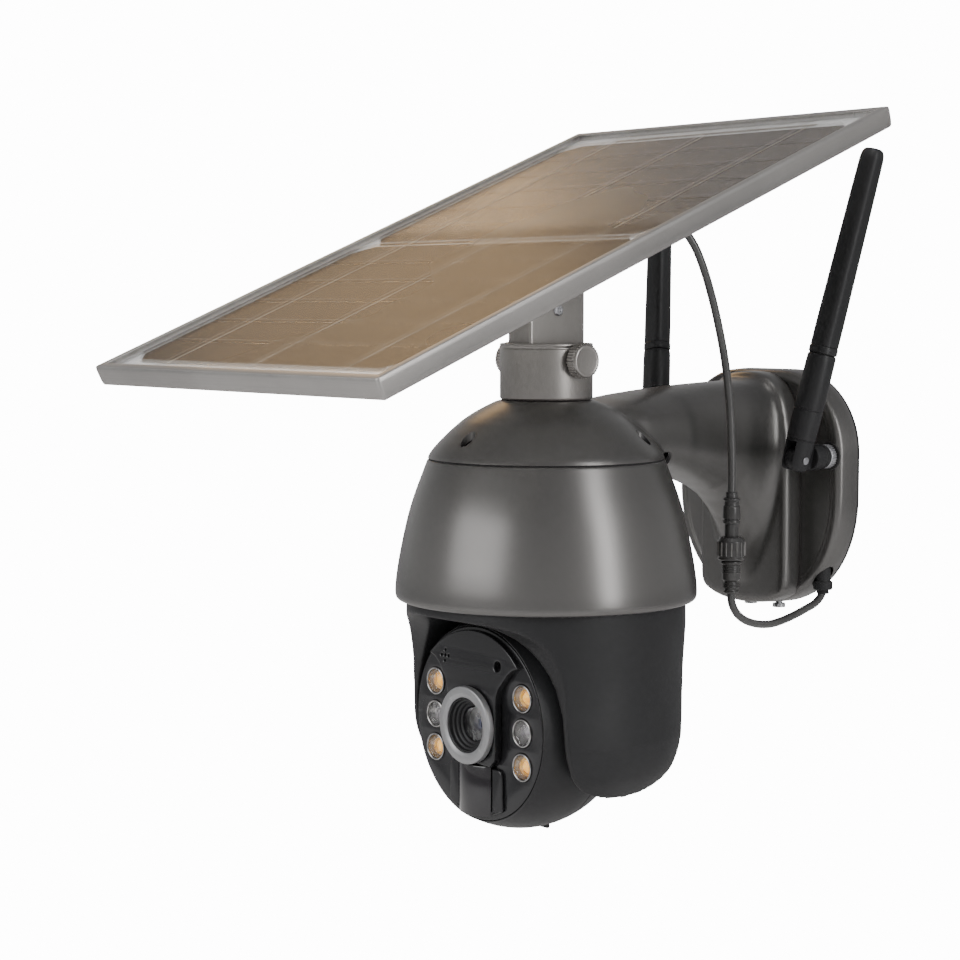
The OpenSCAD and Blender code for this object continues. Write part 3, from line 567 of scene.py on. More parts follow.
# ---------------------------------------------------------------- repeated items
def tree_with(name, sockets):
    tree = bpy.data.node_groups.new(name, "GeometryNodeTree")
    ids = {}
    for label, kind, value in sockets:
        s = tree.interface.new_socket(name=label, in_out="INPUT", socket_type=kind)
        if value is not None:
            s.default_value = value
        ids[label] = s.identifier
    tree.interface.new_socket(name="Geometry", in_out="OUTPUT", socket_type="NodeSocketGeometry")
    return tree, tree.nodes.new("NodeGroupInput"), tree.nodes.new("NodeGroupOutput"), ids


def close_tree(tree, gi, go, geometry):
    """Realize the copies and give them their finish."""
    real = tree.nodes.new("GeometryNodeRealizeInstances")
    paint = tree.nodes.new("GeometryNodeSetMaterial")
    tree.links.new(geometry, real.inputs[0])
    tree.links.new(real.outputs[0], paint.inputs["Geometry"])
    tree.links.new(gi.outputs["Finish"], paint.inputs["Material"])
    tree.links.new(paint.outputs[0], go.inputs[0])


GEO, INT, FLOAT, VEC, MAT, OBJ = ("NodeSocketGeometry", "NodeSocketInt", "NodeSocketFloat",
                                  "NodeSocketVector", "NodeSocketMaterial", "NodeSocketObject")


def make_ribs_tree():
    """Straight ribs standing round a cylinder, along its length."""
    tree, gi, go, ids = tree_with("ribs_round", [
        ("Geometry", GEO, None), ("Count", INT, 24), ("Ring radius", FLOAT, 0.007),
        ("Rib radius", FLOAT, 0.0005), ("Rib length", FLOAT, 0.005), ("Finish", MAT, None)])
    ring = tree.nodes.new("GeometryNodeMeshCircle")
    rib = tree.nodes.new("GeometryNodeMeshCylinder")
    rib.inputs["Vertices"].default_value = 8
    place = tree.nodes.new("GeometryNodeInstanceOnPoints")
    for a, b in (("Count", ring.inputs["Vertices"]), ("Ring radius", ring.inputs["Radius"]),
                 ("Rib radius", rib.inputs["Radius"]), ("Rib length", rib.inputs["Depth"])):
        tree.links.new(gi.outputs[a], b)
    tree.links.new(ring.outputs[0], place.inputs["Points"])
    tree.links.new(rib.outputs[0], place.inputs["Instance"])
    close_tree(tree, gi, go, place.outputs[0])
    return tree, ids


def make_spread_tree():
    """A copy of one item on each point of the mesh that it is put on."""
    tree, gi, go, ids = tree_with("item_on_points", [
        ("Geometry", GEO, None), ("Item", OBJ, None), ("Turn", VEC, (0, 0, 0)), ("Finish", MAT, None)])
    info = tree.nodes.new("GeometryNodeObjectInfo")
    place = tree.nodes.new("GeometryNodeInstanceOnPoints")
    tree.links.new(gi.outputs["Item"], info.inputs[0])
    tree.links.new(gi.outputs["Geometry"], place.inputs["Points"])
    tree.links.new(info.outputs["Geometry"], place.inputs["Instance"])
    tree.links.new(gi.outputs["Turn"], place.inputs["Rotation"])
    close_tree(tree, gi, go, place.outputs[0])
    return tree, ids


def make_rows_tree():
    """A row of one item at an even pitch."""
    tree, gi, go, ids = tree_with("item_in_row", [
        ("Geometry", GEO, None), ("Item", OBJ, None), ("Count", INT, 12), ("Start", VEC, (0, 0, 0)),
        ("Pitch", VEC, (0, 0.022, 0)), ("Finish", MAT, None)])
    info = tree.nodes.new("GeometryNodeObjectInfo")
    line = tree.nodes.new("GeometryNodeMeshLine")
    place = tree.nodes.new("GeometryNodeInstanceOnPoints")
    for a, b in (("Item", info.inputs[0]), ("Count", line.inputs["Count"]),
                 ("Start", line.inputs["Start Location"]), ("Pitch", line.inputs["Offset"])):
        tree.links.new(gi.outputs[a], b)
    tree.links.new(line.outputs[0], place.inputs["Points"])
    tree.links.new(info.outputs["Geometry"], place.inputs["Instance"])
    close_tree(tree, gi, go, place.outputs[0])
    return tree, ids


RIBS, SPREAD, ROWS = make_ribs_tree(), make_spread_tree(), make_rows_tree()


def grown(kind, host, **values):
    """Runs one of the trees on a mesh and returns the plain result."""
    tree, ids = kind
    ob = as_object(host or bpy.data.meshes.new("seed"))
    mod = ob.modifiers.new("repeat", "NODES")
    mod.node_group = tree
    for label, value in values.items():
        mod[ids[label.replace("_", " ")]] = value
    return evaluated(ob)


def ribs(count, ring, rib, length, finish_used, at):
    me = grown(RIBS, None, Count=count, Ring_radius=ring * MM, Rib_radius=rib * MM,
               Rib_length=length * MM, Finish=finish_used)
    return moved(me, at)


def spread(item, points, finish_used, turn=(0, 0, 0)):
    host = bpy.data.meshes.new("points")
    host.from_pydata([Vector(p) * MM for p in points], [], [])
    sample = as_object(item, "item")
    me = grown(SPREAD, host, Item=sample, Turn=turn, Finish=finish_used)
    bpy.data.objects.remove(sample)
    return me


def row_of(item, count, start, pitch, finish_used):
    sample = as_object(item, "item")
    me = grown(ROWS, None, Item=sample, Count=count, Start=Vector(start) * MM, Pitch=Vector(pitch) * MM,
               Finish=finish_used)
    bpy.data.objects.remove(sample)
    return me


X_AXIS = Matrix.Rotation(math.pi / 2, 4, "Y")      # carries +Z to +X
Y_AXIS = Matrix.Rotation(-math.pi / 2, 4, "X")     # carries +Z to +Y
FRONT = Matrix.Rotation(math.pi / 2, 4, "X")       # carries +Z to -Y, and +Y to +Z


# ---------------------------------------------------------------- cords
LEAD = [(27, -113.9, 126.6), (31.5, -113.2, 126.1), (36.6, -110.5, 123.8), (41, -105.6, 118.2),
        (43.8, -100.3, 110.4), (45, -95.8, 101), (45, -90.6, 89), (45, -85.8, 75), (45, -81.8, 60),
        (45, -79, 44), (45, -77.6, 28), (45, -77, 14), (45, -77, 3.55)]
TAIL = [(45, -77, -40.7), (45, -76.2, -45.4), (44.8, -73, -50), (44.4, -67.4, -53.6), (43.6, -59, -56.2),
        (42.6, -49.2, -57.3), (41.4, -39.6, -56.6), (40.2, -30, -55), (39, -21.6, -53.2), (38, -14.8, -51.6),
        (37.3, -10.2, -49.2), (37, -8.1, -46.4), (37, -8, -43), (37, -8, -39.6)]
CABLE_R = 1.75


def line_length(path):
    return sum((path[i] - path[i - 1]).length for i in range(1, len(path)))


def cable(name, path, body):
    """A length of round jacketed cable as a closed tube."""
    ob = piece(name, [(swept(path, CABLE_R, 20), CABLE)], body, crease=60)
    return ob, [p * MM for p in path], line_length(path) * MM


lead_line = curved(LEAD, 8)
cut_at = 7 * 8                       # the lead is held on the mast side here
upper, upper_path, upper_length = cable("panel_lead_upper", lead_line[:cut_at + 1], None)
lower, lower_path, lower_length = cable("panel_lead_lower", lead_line[cut_at:], None)
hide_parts("panel_lead")
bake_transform(upper)
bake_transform(lower)
tail, tail_path, tail_length = cable("pigtail_cable", curved(TAIL, 8), "base")
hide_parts("pigtail")


def ringed(base, z0, z1, pitch, low, high):
    """A ribbed stretch of a turned profile."""
    out, z = [], z0
    while z < z1 - pitch * 0.5:
        out += [(high, z), (high, z + pitch * 0.45), (low, z + pitch * 0.5), (low, z + pitch * 0.95)]
        z += pitch
    return base + out


def at_plug(z):
    return Matrix.Translation((CONNECTOR_X, CONNECTOR_Y, 1.3 + z))


def plug_body():
    prof = [(0, -20.4), (2.7, -20.4), (3, -20), (3, -11.6), (3.5, -11.6), (3.8, -11.2), (3.8, -10.2),
            (3.3, -10), (3.3, -9.6), (3.8, -9.3), (3.75, -4.2), (3.5, -3.8), (3.2, -3.4), (3.2, -1.6),
            (3.6, -1.4), (3.75, -1.2), (3.7, -0.5), (3.3, -0.3), (2.7, -0.1), (2.6, 1.6), (2.3, 2.2),
            (0, 2.2)]
    body = moved(turned(eased(prof, 0.25, 2), 64), at_plug(0))
    return piece("plug_of_panel_lead", [(body, PLUG)], "base", ["connector_plug"])


def socket_body():
    prof = [(0, -41.9), (3.2, -41.9), (3.5, -41.6), (3.5, -41), (2.9, -40.8), (2.9, -39.6)]
    prof = ringed(prof, -39.5, -37.2, 0.8, 3.0, 3.7)
    prof += [(3.0, -37), (3.2, -36.6), (3.7, -36.2), (3.9, -35.9), (3.9, -33.2)]
    prof = ringed(prof, -33.1, -29.4, 0.75, 3.75, 4.15)
    prof += [(4.3, -29.2), (4.5, -28.9), (4.5, -28.1), (4.2, -27.9), (3.5, -27.8), (3.5, -20.6), (0, -20.6)]
    body = moved(turned(eased(prof, 0.12, 2), 64), at_plug(0))
    return piece("socket_of_pigtail", [(body, PLUG)], "base", ["connector_socket"])


def nut_body():
    prof = [(4.05, 0.3), (4.3, 0), (5.5, 0), (5.9, 0.4), (5.9, 1.0), (5.6, 1.2), (5.6, 1.5), (5.9, 1.7),
            (5.9, 8.2), (5.5, 8.8), (5.0, 9.7), (4.7, 10), (3.3, 10), (3.05, 9.7), (3.05, 7), (4.05, 7)]
    at = Matrix.Translation((CONNECTOR_X, CONNECTOR_Y, -26.1))
    body = moved(turned(eased(prof, 0.2, 2, closed=True), 72), at)
    grips = ribs(16, 5.9, 0.4, 6.0, PLUG, at @ Matrix.Translation((0, 0, 4.9)))
    return piece("union_nut_grip", [(body, PLUG), (grips, PLUG)], "union_nut",
                 ["union_nut"])


def gland_body():
    """Tapered, ringed strain relief where the pigtail leaves the base."""
    prof = [(2.0, -47.3), (2.2, -47.6), (2.6, -47.6), (2.8, -47.3)]
    prof += [(2.9, -46.8), (2.6, -46.6), (2.6, -46.2), (3.1, -45.9), (4.0, -45.7), (4.4, -45.3),
             (4.4, -42.2),
             (4.1, -41.8), (3.5, -41.7), (3.5, -31.8), (2.0, -31.8)]
    body = moved(turned(eased(prof, 0.12, 2, closed=True), 56), Matrix.Translation((GLAND_X, GLAND_Y, 0)))
    return piece("pigtail_gland", [(body, RUBBER)], "base", ["cable_gland"])


plug, socket, nut = plug_body(), socket_body(), nut_body()
gland_body()


# ---------------------------------------------------------------- wall base
def base_outline(y, inset=0.0, n=24):
    """Outline of the base at one depth: broad rounded corners above, one fuller curve below."""
    w, h, r, power = 103, 110, 38, 2.2
    line = []
    for k in range(n + 1):
        a = math.radians(90 * k / n)
        line.append(Vector((w / 2 - r + r * math.cos(a), h / 2 - r + r * math.sin(a))))
    top = [Vector((-p.x, p.y)) for p in reversed(line)]
    low = []
    for k in range(1, 3 * n):
        a = math.pi + math.pi * k / (3 * n)
        c, s = math.cos(a), math.sin(a)
        low.append(Vector((math.copysign(abs(c) ** (2 / power), c) * w / 2, -abs(s) ** (2 / power) * h / 2)))
    return [(p.x, y, p.y) for p in offset_loop([(q.x, q.y) for q in line + top + low], inset)]


def wall_base():
    steps = [(-1.5, 3.2), (-1.5, 0.7), (-1.75, 0.25), (-2.3, 0), (-6, 0.05), (-11.2, 0.35), (-12.3, 0.75),
             (-13.1, 1.35), (-13.6, 2.1), (-13.9, 3.0), (-14, 4.2), (-13.95, 5.2), (-13.6, 5.7),
             (-13.45, 6.4),
             (-13.4, 8), (-13.4, 10)]
    outer = [base_outline(y, d) for y, d in steps]
    inner = [base_outline(y, d) for y, d in ((-10.9, 9), (-10.9, 6), (-10.2, 3.4), (-1.5, 3.2))]
    rings = inner + outer
    k = len(rings[0])
    verts = [p for ring in rings for p in ring]
    faces = []
    for j in range(len(rings) - 1):
        faces += [(j * k + i, j * k + (i + 1) % k, (j + 1) * k + (i + 1) % k, (j + 1) * k + i)
                  for i in range(k)]
    for j, y in ((0, -10.9), (len(rings) - 1, -13.4)):
        verts.append((0, y, 0))
        faces += [(j * k + i, j * k + (i + 1) % k, len(verts) - 1) for i in range(k)]
    skin = shell_of(verts, faces)
    for s in (-1, 1):
        hole = moved(turned([(0, -24), (3.3, -24), (3.3, -4), (0, -4)], 40, "Y"),
                     Matrix.Translation((s * ANT_X, 0, ANT_Z)))
        skin = combined(skin, hole)
        skin = combined(skin, moved(turned([(0, -60), (1.75, -60), (1.75, -40), (0, -40)], 24),
                                    Matrix.Translation((s * 9, -7, 0))))
    skin = combined(skin, moved(turned([(0, -60), (4.7, -60), (4.7, -30), (0, -30)], 32),
                                Matrix.Translation((GLAND_X, GLAND_Y, 0))))
    return piece("wall_base_cover", [(skin, GUNMETAL)], "base", ["base_shell"])


wall_base()


# ---------------------------------------------------------------- arm and dome cap
BLOCK_SIDE = [(0, 54.2), (9, 53.4), (15.5, 50.8), (20.4, 46.4), (24, 40), (26.2, 31), (27, 20), (27.3, 6),
              (27.4, -12), (27.4, -34), (27.2, -43), (26.2, -47), (23, -49.9), (14, -53), (0, -54.3)]
HORN = [(-18, 52.8, 20, -52, 25.6, 3.0, 2.2), (-22.6, 52.2, 20, -49, 25.0, 2.9, 1.9),
        (-24.4, 51.2, 20, -42, 24.0, 2.9, 1.7), (-26.6, 50.6, 20, -33, 23.2, 2.9, 1.7),
        (-30, 50.2, 20, -23.5, 22.5, 2.9, 1.8), (-35, 49.9, 20, -14, 22.0, 2.9, 2.0),
        (-42, 49.7, 21, -5.5, 21.9, 2.8, 2.2), (-50, 49.4, 22, 0, 22.1, 2.8, 2.4),
        (-60, 48.9, 23, 4.2, 22.8, 2.8, 2.6), (-72, 48.1, 24.5, 8, 24.2, 2.8, 2.7),
        (-85, 47, 26, 11.4, 25.8, 2.8, 2.8), (-98, 45.6, 27.5, 13.6, 27.4, 2.8, 2.8),
        (-110, 43.8, 28.4, 15, 28.4, 2.8, 2.8), (-122, 41.2, 28.4, 16, 27, 2.8, 2.8),
        (-134, 38, 27.5, 17, 22, 2.8, 2.8)]


def egg_ring(y, top, mid, bottom, half, n_top, n_low, inset=0.0, k=72):
    """An egg-shaped section: one squareness above its widest line and another below."""
    pts = []
    for i in range(k):
        a = 2 * math.pi * (i + 0.5) / k
        c, s = math.cos(a), math.sin(a)
        n, tall = (n_top, top - mid - inset) if s > 0 else (n_low, mid - bottom - inset)
        pts.append((math.copysign(abs(c) ** (2 / n), c) * (half - inset), y,
                    mid + math.copysign(abs(s) ** (2 / n), s) * tall))
    return pts


def block_ring(y, inset):
    half = curved(BLOCK_SIDE, 5)
    loop = [(p.x, p.y) for p in half] + [(-p.x, p.y) for p in reversed(half[1:-1])]
    loop.reverse()
    return [(p.x, y, p.y) for p in offset_loop(loop, inset)]


def arm_and_cap():
    slab = lofted([block_ring(y, d) for y, d in
                   ((-12.5, 0), (-16, 0.05), (-20.6, 0.1), (-22.2, 0.45), (-23.1, 1.1), (-23.6, 2.2))])
    horn = lofted([egg_ring(*h) for h in HORN])
    cap = moved(turned([(0, 15), (51.2, 15), (51.2, 19.3), (50.8, 20.4), (49.1, 22.8), (46.3, 26),
                        (41.9, 30.4),
                        (36.8, 34.9), (33.3, 37.4), (29.5, 39.7), (26.1, 41.5), (22.7, 43.2), (21, 43.9),
                        (20.4, 44.1), (0, 44.1)], 160), AT_DOME)
    body = combined(combined(horn, slab, "UNION"), cap, "UNION")
    body = softened(body, 1.05, 9, 0.5)
    # hollow for the cells and boards
    slab_in = lofted([block_ring(y, d) for y, d in ((-11, 3), (-21.4, 3), (-22.2, 3.6))])
    horn_in = lofted([egg_ring(*h, inset=2.6) for h in HORN])
    cap_in = moved(turned([(0, 8), (48.6, 8), (48.6, 19.6), (47.2, 21.2), (43.4, 25.4), (38.6, 29.9),
                           (33.6, 33.6), (28.6, 36), (25, 36.5), (0, 36.5)], 120), AT_DOME)
    body = combined(body, combined(combined(horn_in, slab_in, "UNION"), cap_in, "UNION"))
    # clearance round the dome skirt, flat seam face and bore of the mast
    under = moved(turned([(0, -20), (65, -20), (63, -10.5), (61, -2), (59.2, 6), (57.6, 13), (56.8, 19.4),
                          (55.6, 20.8), (52.6, 20.8), (51.6, 19.3), (0, 19.3)], 200), AT_DOME)
    body = combined(body, under)
    body = combined(body, moved(turned([(0, 20), (12.06, 20), (12.06, 70), (0, 70)], 64), AT_DOME))
    for a in CAP_SCREW_ANGLES:
        well = turned(eased([(0, 22.8), (3.2, 22.8), (3.2, 44), (0, 44)], 0.2), 48)
        at = AT_DOME @ Matrix.Rotation(math.radians(a), 4, "Z") @ Matrix.Translation((0, -CAP_SCREW_R, 0))
        body = combined(body, moved(well, at))
    return piece("arm_and_dome_cap", [(body, GUNMETAL)], "base", ["arm_shell"], crease=40)


arm_and_cap()


def cap_screw_set():
    """Pan-head screws down in the wells of the cap."""
    head = turned(eased([(0, -12), (1.6, -12), (1.6, -0.2), (2.85, -0.1), (2.9, 0.5), (2.2, 1.3), (0, 1.55)],
                        0.25), 40)
    for turn in (0, 1):
        slot = block((-1.7, 1.7), (-0.42, 0.42), (0.75, 3), 0.08)
        head = combined(head, moved(slot, Matrix.Rotation(turn * math.pi / 2, 4, "Z")))
    points = []
    for a in CAP_SCREW_ANGLES:
        points.append(AT_DOME @ Matrix.Rotation(math.radians(a), 4, "Z") @ Vector((0, -CAP_SCREW_R, 24.4)))
    return piece("dome_cap_screws", [(spread(head, points, STEEL, (0, 0, 0.4)), STEEL)], "base",
                 ["cap_screws"])


cap_screw_set()


# ---------------------------------------------------------------- dome
def dome_skirt():
    outer = curved([(51.35, 18.2), (53.7, 12), (56.5, 4.5), (58.9, -3), (60.8, -10.5), (62.4, -18),
                    (63.9, -26),
                    (64.9, -33), (65.2, -37.6), (65.1, -39.4)], 5)
    prof = [(47.4, 18.7), (50.5, 18.7), (51.0, 18.55)] + [(p.x, p.y) for p in outer]
    prof += [(64.8, -40.4), (64.2, -41), (63.4, -41.3), (61.6, -41.3), (61.1, -41), (60.9, -40.4),
             (60.9, -33), (59.4, -26),
             (58.1, -18), (56.6, -10.5), (54.9, -3), (52.9, 4.5), (50.6, 12), (48.6, 16.9), (45.6, 16.9),
             (45.6, 18.7)]
    skin = moved(turned(prof, 200), AT_DOME)
    post = turned([(1.6, 6), (3.6, 6), (3.6, 17.2), (1.6, 17.2)], 24)
    points = [AT_DOME @ Matrix.Rotation(math.radians(a), 4, "Z") @ Vector((0, -CAP_SCREW_R, 0))
              for a in CAP_SCREW_ANGLES]
    return piece("dome_skirt_shell", [(skin, GUNMETAL), (spread(post, points, GUNMETAL), GUNMETAL)], "base",
                 ["dome_skirt"])


dome_skirt()


def dome_underside():
    """The dome's floor with its bearing ring and speaker holes, seen round the yoke."""
    holes = [round_outline(16, n=64)]
    turn = Matrix.Rotation(math.radians(-60), 2)
    for x in (-6, -3, 0, 3, 6):
        for y in (-6, -3, 0, 3, 6):
            if abs(x) + abs(y) < 10:
                p = turn @ Vector((-41 + x, y))
                holes.append(round_outline(0.9, (p.x, p.y), 12))
    a = math.radians(200)
    holes.append(round_outline(2.06, (29 * math.cos(a), 29 * math.sin(a)), 24))
    floor = plate([round_outline(60.7, n=160)] + holes, -37, -34.4, 0.3)
    collar_ring = turned(eased([(16, -34.6), (18.6, -34.6), (18.6, -29.5), (16, -29.5)], 0.4, closed=True),
                         80)
    lip = turned(eased([(57.2, -37.8), (60.6, -37.8), (60.6, -36.9), (57.2, -36.9)], 0.3, closed=True), 160)
    parts = [(moved(m, AT_DOME), BLACK) for m in (floor, collar_ring, lip)]
    return piece("dome_floor_plate", parts, "base", ["dome_floor"])


dome_underside()


# ---------------------------------------------------------------- pan yoke
YOKE_SIDE = [(0, -121.5), (12, -120.4), (21.2, -116.8), (27.9, -110.4), (31.6, -101.5), (33.1, -92),
             (33.6, -79),
             (34.6, -69), (36.8, -61), (40.4, -54.4), (45.4, -50), (52, -46.9), (61.5, -45)]
ALONG_X = Matrix(((0, 0, 1, 0), (1, 0, 0, 0), (0, 1, 0, 0), (0, 0, 0, 1)))


def yoke_shell():
    env = curved([(60.5, -52), (60.5, -92), (60.2, -99), (59.1, -105.5), (57, -111.6), (53.6, -116.4),
                  (50.4, -119.8), (48.2, -121.5)], 5)
    prof = [(0, -38), (59.0, -38), (59.9, -39), (60.4, -44)] + [(p.x, p.y) for p in env] + [(0, -121.8)]
    skin = moved(turned(prof, 220), AT_DOME)
    half = [(p.x, p.y) for p in curved(YOKE_SIDE, 6)]
    side = half + [(61.5, -36)] + [(-61.5, -36)] + [(-x, z) for x, z in reversed(half[1:])]
    prism = moved(plate([side], -62, 62, 0.05, 1), Matrix.Translation((0, PAN_Y, 0)) @ ALONG_X)
    skin = combined(skin, prism, "INTERSECT")
    ball = [(48.5 * math.sin(math.pi * k / 60), 48.5 * math.cos(math.pi * k / 60)) for k in range(61)]
    ball[0], ball[-1] = (0, 48.5), (0, -48.5)
    skin = combined(skin, moved(turned(ball, 160), AT_BALL))
    tunnel = [(-48.5, -60), (48.5, -60)] + [(48.5 * math.cos(a), 48.5 * math.sin(a))
                                            for a in (math.pi * k / 48 for k in range(49))]
    tunnel = [(x, z) for x, z in tunnel if z <= 45.4]
    skin = combined(skin, moved(plate([tunnel], -90, 90, 0.01, 1), AT_BALL @ FRONT))
    skin = combined(skin, moved(turned([(0, -50), (8, -50), (8, -30), (0, -30)], 40), AT_DOME))
    skin = softened(skin, 0.85, 3, 0.5)
    caps = [moved(turned(eased([(0, 48.3), (8.4, 48.3), (8.4, 47.5), (7.4, 47.1), (5.6, 47.1), (5.2, 47.5),
                                (0, 47.5)],
                               0.2), 56, "X"), AT_BALL @ Matrix.Scale(s, 4, (1, 0, 0))) for s in (-1, 1)]
    return piece("pan_yoke_shell", [(skin, BLACK)] + [(c, BLACK) for c in caps], "yoke",
                 ["yoke_shell"], crease=50)


yoke_shell()


# ---------------------------------------------------------------- camera ball
def sphere_arc(r, y0, y1, n):
    """Points (radius, height) on a ball between two heights."""
    a0, a1 = math.acos(max(-1, min(1, y0 / r))), math.acos(max(-1, min(1, y1 / r)))
    return [(r * math.sin(a0 + (a1 - a0) * k / n),
             r * math.cos(a0 + (a1 - a0) * k / n)) for k in range(n + 1)]


CARD_TURN = Matrix.Rotation(math.radians(-50), 4, "X")      # the card slot sits on the underside


def ball_shell():
    prof = [(0, BALL_R)] + sphere_arc(BALL_R, 47.2, 8.25, 30) + [(46.45, 8.1), (46.45, 7.8)]
    prof += sphere_arc(BALL_R, 7.65, -21.9, 24)
    prof += [(41.85, -22.5), (41.6, -22.6), (41.4, -22.4), (41.36, -20.3), (39.9, -20.3)]
    prof += sphere_arc(44.8, -20.2, 44.6, 36) + [(0, 44.8)]
    skin = turned(prof, 160, "Y")
    skin = combined(skin, moved(block((-14, 14), (5, 60), (-27.4, -8.5), 0.5), CARD_TURN))
    button_hole = turned([(0, 40), (3.15, 40), (3.15, 50), (0, 50)], 40, "Y")
    skin = combined(skin, moved(button_hole, Matrix.Rotation(math.radians(-20), 4, "X")))
    for s in (-1, 1):
        flip = Matrix.Scale(s, 4, (1, 0, 0))
        skin = combined(skin, moved(turned([(0, 30), (8.4, 30), (8.4, 60), (0, 60)], 48, "X"), flip))
    hubs = [moved(turned(eased([(5.06, 37), (8.5, 37), (8.5, 46.1), (5.06, 46.1)], 0.4, closed=True), 64,
                         "X"),
                  Matrix.Scale(s, 4, (1, 0, 0))) for s in (-1, 1)]
    parts = [(moved(m, AT_BALL), BLACK) for m in [skin] + hubs]
    return piece("camera_ball_shell", parts, "ball", ["ball_shell"], crease=38)


ball_shell()
AT_FACE = AT_BALL @ FRONT        # local x right, y up, z out of the face
LED_ROWS = [(s * LED_X, z) for s in (-1, 1) for z in (-LED_STEP, 0, LED_STEP)]


def face_plate():
    holes = [round_outline(6.05, p, 40) for p in LED_ROWS] + [round_outline(14, n=72)]
    holes.append(box_outline(21.2, 19.6, 1.2, (0, -26.2)))
    disc = plate([round_outline(41.2, n=180)] + holes, 20.4, 23, 0.45, 3)
    return piece("face_disc", [(moved(disc, AT_FACE), FACE)], "ball", ["face_plate"])


def raised_plate():
    """Raised middle of the face: wide at the rim above, narrow beside the lens, with ears below."""
    def to_rim(p):
        return Vector(p).normalized() * 39.9
    right = [(15.4, -13.2), (15.7, -6), (15.7, 9), (15.9, 13.4), (17.2, 17.2), (22.6, 23.6), (25.6, 26)]
    a0 = math.atan2(27.3, 29.1)
    rim = [(39.9 * math.cos(a), 39.9 * math.sin(a)) for a in
           [a0 + (math.pi - 2 * a0) * k / 40 for k in range(41)]]
    edge = eased([(12.4, -16.4)] + right, 0.8)
    loop = edge + rim + [(-x, z) for x, z in reversed(edge)]
    mic = [(-18.6 + x, 27.2 + z) for x, z in ((0, 0), (2.3, 0), (-2.3, 0), (0, 2.3), (0, -2.3))]
    holes = [round_outline(14, n=72), round_outline(2.2, (16.2, 26.6), 32)]
    holes += [round_outline(0.62, p, 12) for p in mic]
    body = plate([loop] + holes, 22.9, 27.3, 0.7, 3)
    ears = []
    for s in (-1, 1):
        low = [(s * 10.7, -17.6), (s * 17.3, -17.6), (s * 17.3, -35.2), (s * 10.7, -37.6)]
        ears.append(plate([eased(low, [0.3, 4.2, 1.0, 0.5], 5, closed=True)], 22.9, 24.5, 0.6, 3))
    slope_from, slope = 0.014, 0.085         # the top of the raised part leans back, metres and rise
    for v in body.vertices:
        if v.co.y > slope_from:
            v.co.z -= (v.co.y - slope_from) * slope * min(1, max(0, (v.co.z - 0.0229) / 0.0044))
    cup = turned([(0, 22.2), (2.1, 22.2), (2.1, 24), (1.6, 24), (1.5, 23), (0, 23.2)], 32)
    cup = moved(cup, Matrix.Translation((16.2, 26.6, 0)))
    parts = [(moved(m, AT_FACE), FACE) for m in [body] + ears] + [(moved(cup, AT_FACE), WINDOW)]
    return piece("face_centre_plate", parts, "ball", ["centre_plate"])


def lens_parts():
    ring = turned(eased([(11.7, 28), (16.5, 28), (16.5, 31), (13.6, 31.15), (11.7, 30.5)],
                        [0.2, 0.3, 0.7, 0.4, 0.5], 3, closed=True), 128)
    piece("lens_front_ring", [(moved(ring, AT_FACE), RING)], "ball", ["lens_ring"])
    steps = [(0, 9), (11.5, 9), (11.5, 17), (13.9, 17), (13.9, 24), (11.5, 24), (11.6, 29.6), (11.2, 30.0),
             (10.9, 29.8), (10.7, 28.4), (9.9, 28.1), (9.7, 26.9), (8.9, 26.6), (8.7, 25.4), (7.7, 25.1),
             (7.55, 24.2), (7.3, 21), (5.6, 20.4), (5.2, 17), (3.8, 16.4), (3.6, 12), (0, 11.9)]
    barrel = turned(eased(steps, 0.15, 2), 112)
    baffles = turned(eased([(8.7, 25.6), (9.3, 26.3), (9.3, 26.5), (8.7, 26.2)], 0.05, 1, closed=True), 96)
    piece("lens_stepped_barrel", [(moved(m, AT_FACE), BLACK) for m in (barrel, baffles)], "ball",
          ["lens_barrel"])
    dome = [(0, 27.0)] + [(7.3 * math.sin(a), 24.2 + 2.8 * math.cos(a)) for a in
                          (math.pi / 2 * k / 14 for k in range(1, 15))] + [(7.3, 24.0), (6.8, 23.7),
                                                                           (0, 23.5)]
    rear = [(0, 20.6)] + [(5.2 * math.sin(a), 18.2 + 2.4 * math.cos(a)) for a in
                          (math.pi / 2 * k / 12 for k in range(1, 13))] + [(5.2, 17.8), (0, 17.6)]
    iris = turned(eased([(2.4, 21.3), (6.9, 21.9), (7.2, 21.6), (6.9, 21.3), (2.4, 21.0)], 0.1, 1,
                        closed=True), 96)
    piece("lens_glass_group", [(moved(turned(dome, 112), AT_FACE), CLEAR), (moved(turned(rear, 96), AT_FACE),
                                                                            OPTIC),
                               (moved(iris, AT_FACE), BLACK)], "ball", ["lens_glass"])


def motion_window():
    """Curved dark window under the lens, its lower end trimmed to the ball."""
    arc = [(15.6 * math.sin(a), 13.2 + 15.6 * math.cos(a)) for a in
           (math.radians(-42.5 + 85 * k / 32) for k in range(33))]
    inner = [(14.2 * math.sin(a), 13.2 + 14.2 * math.cos(a)) for a in
             (math.radians(42.5 - 85 * k / 32) for k in range(33))]
    shell = plate([arc + inner], -38.5, -16.8, 0.5)
    stand = Matrix(((1, 0, 0, 0), (0, 0, 1, 0), (0, 1, 0, 0), (0, 0, 0, 1)))
    shell = moved(shell, stand)
    limit = turned([(0, 48.1)] + sphere_arc(48.1, 47.9, -47.9, 60) + [(0, -48.1)], 120)
    shell = combined(shell, limit, "INTERSECT")
    return piece("motion_sensor_window", [(moved(shell, AT_FACE), WINDOW)], "ball",
                 ["motion_window"])


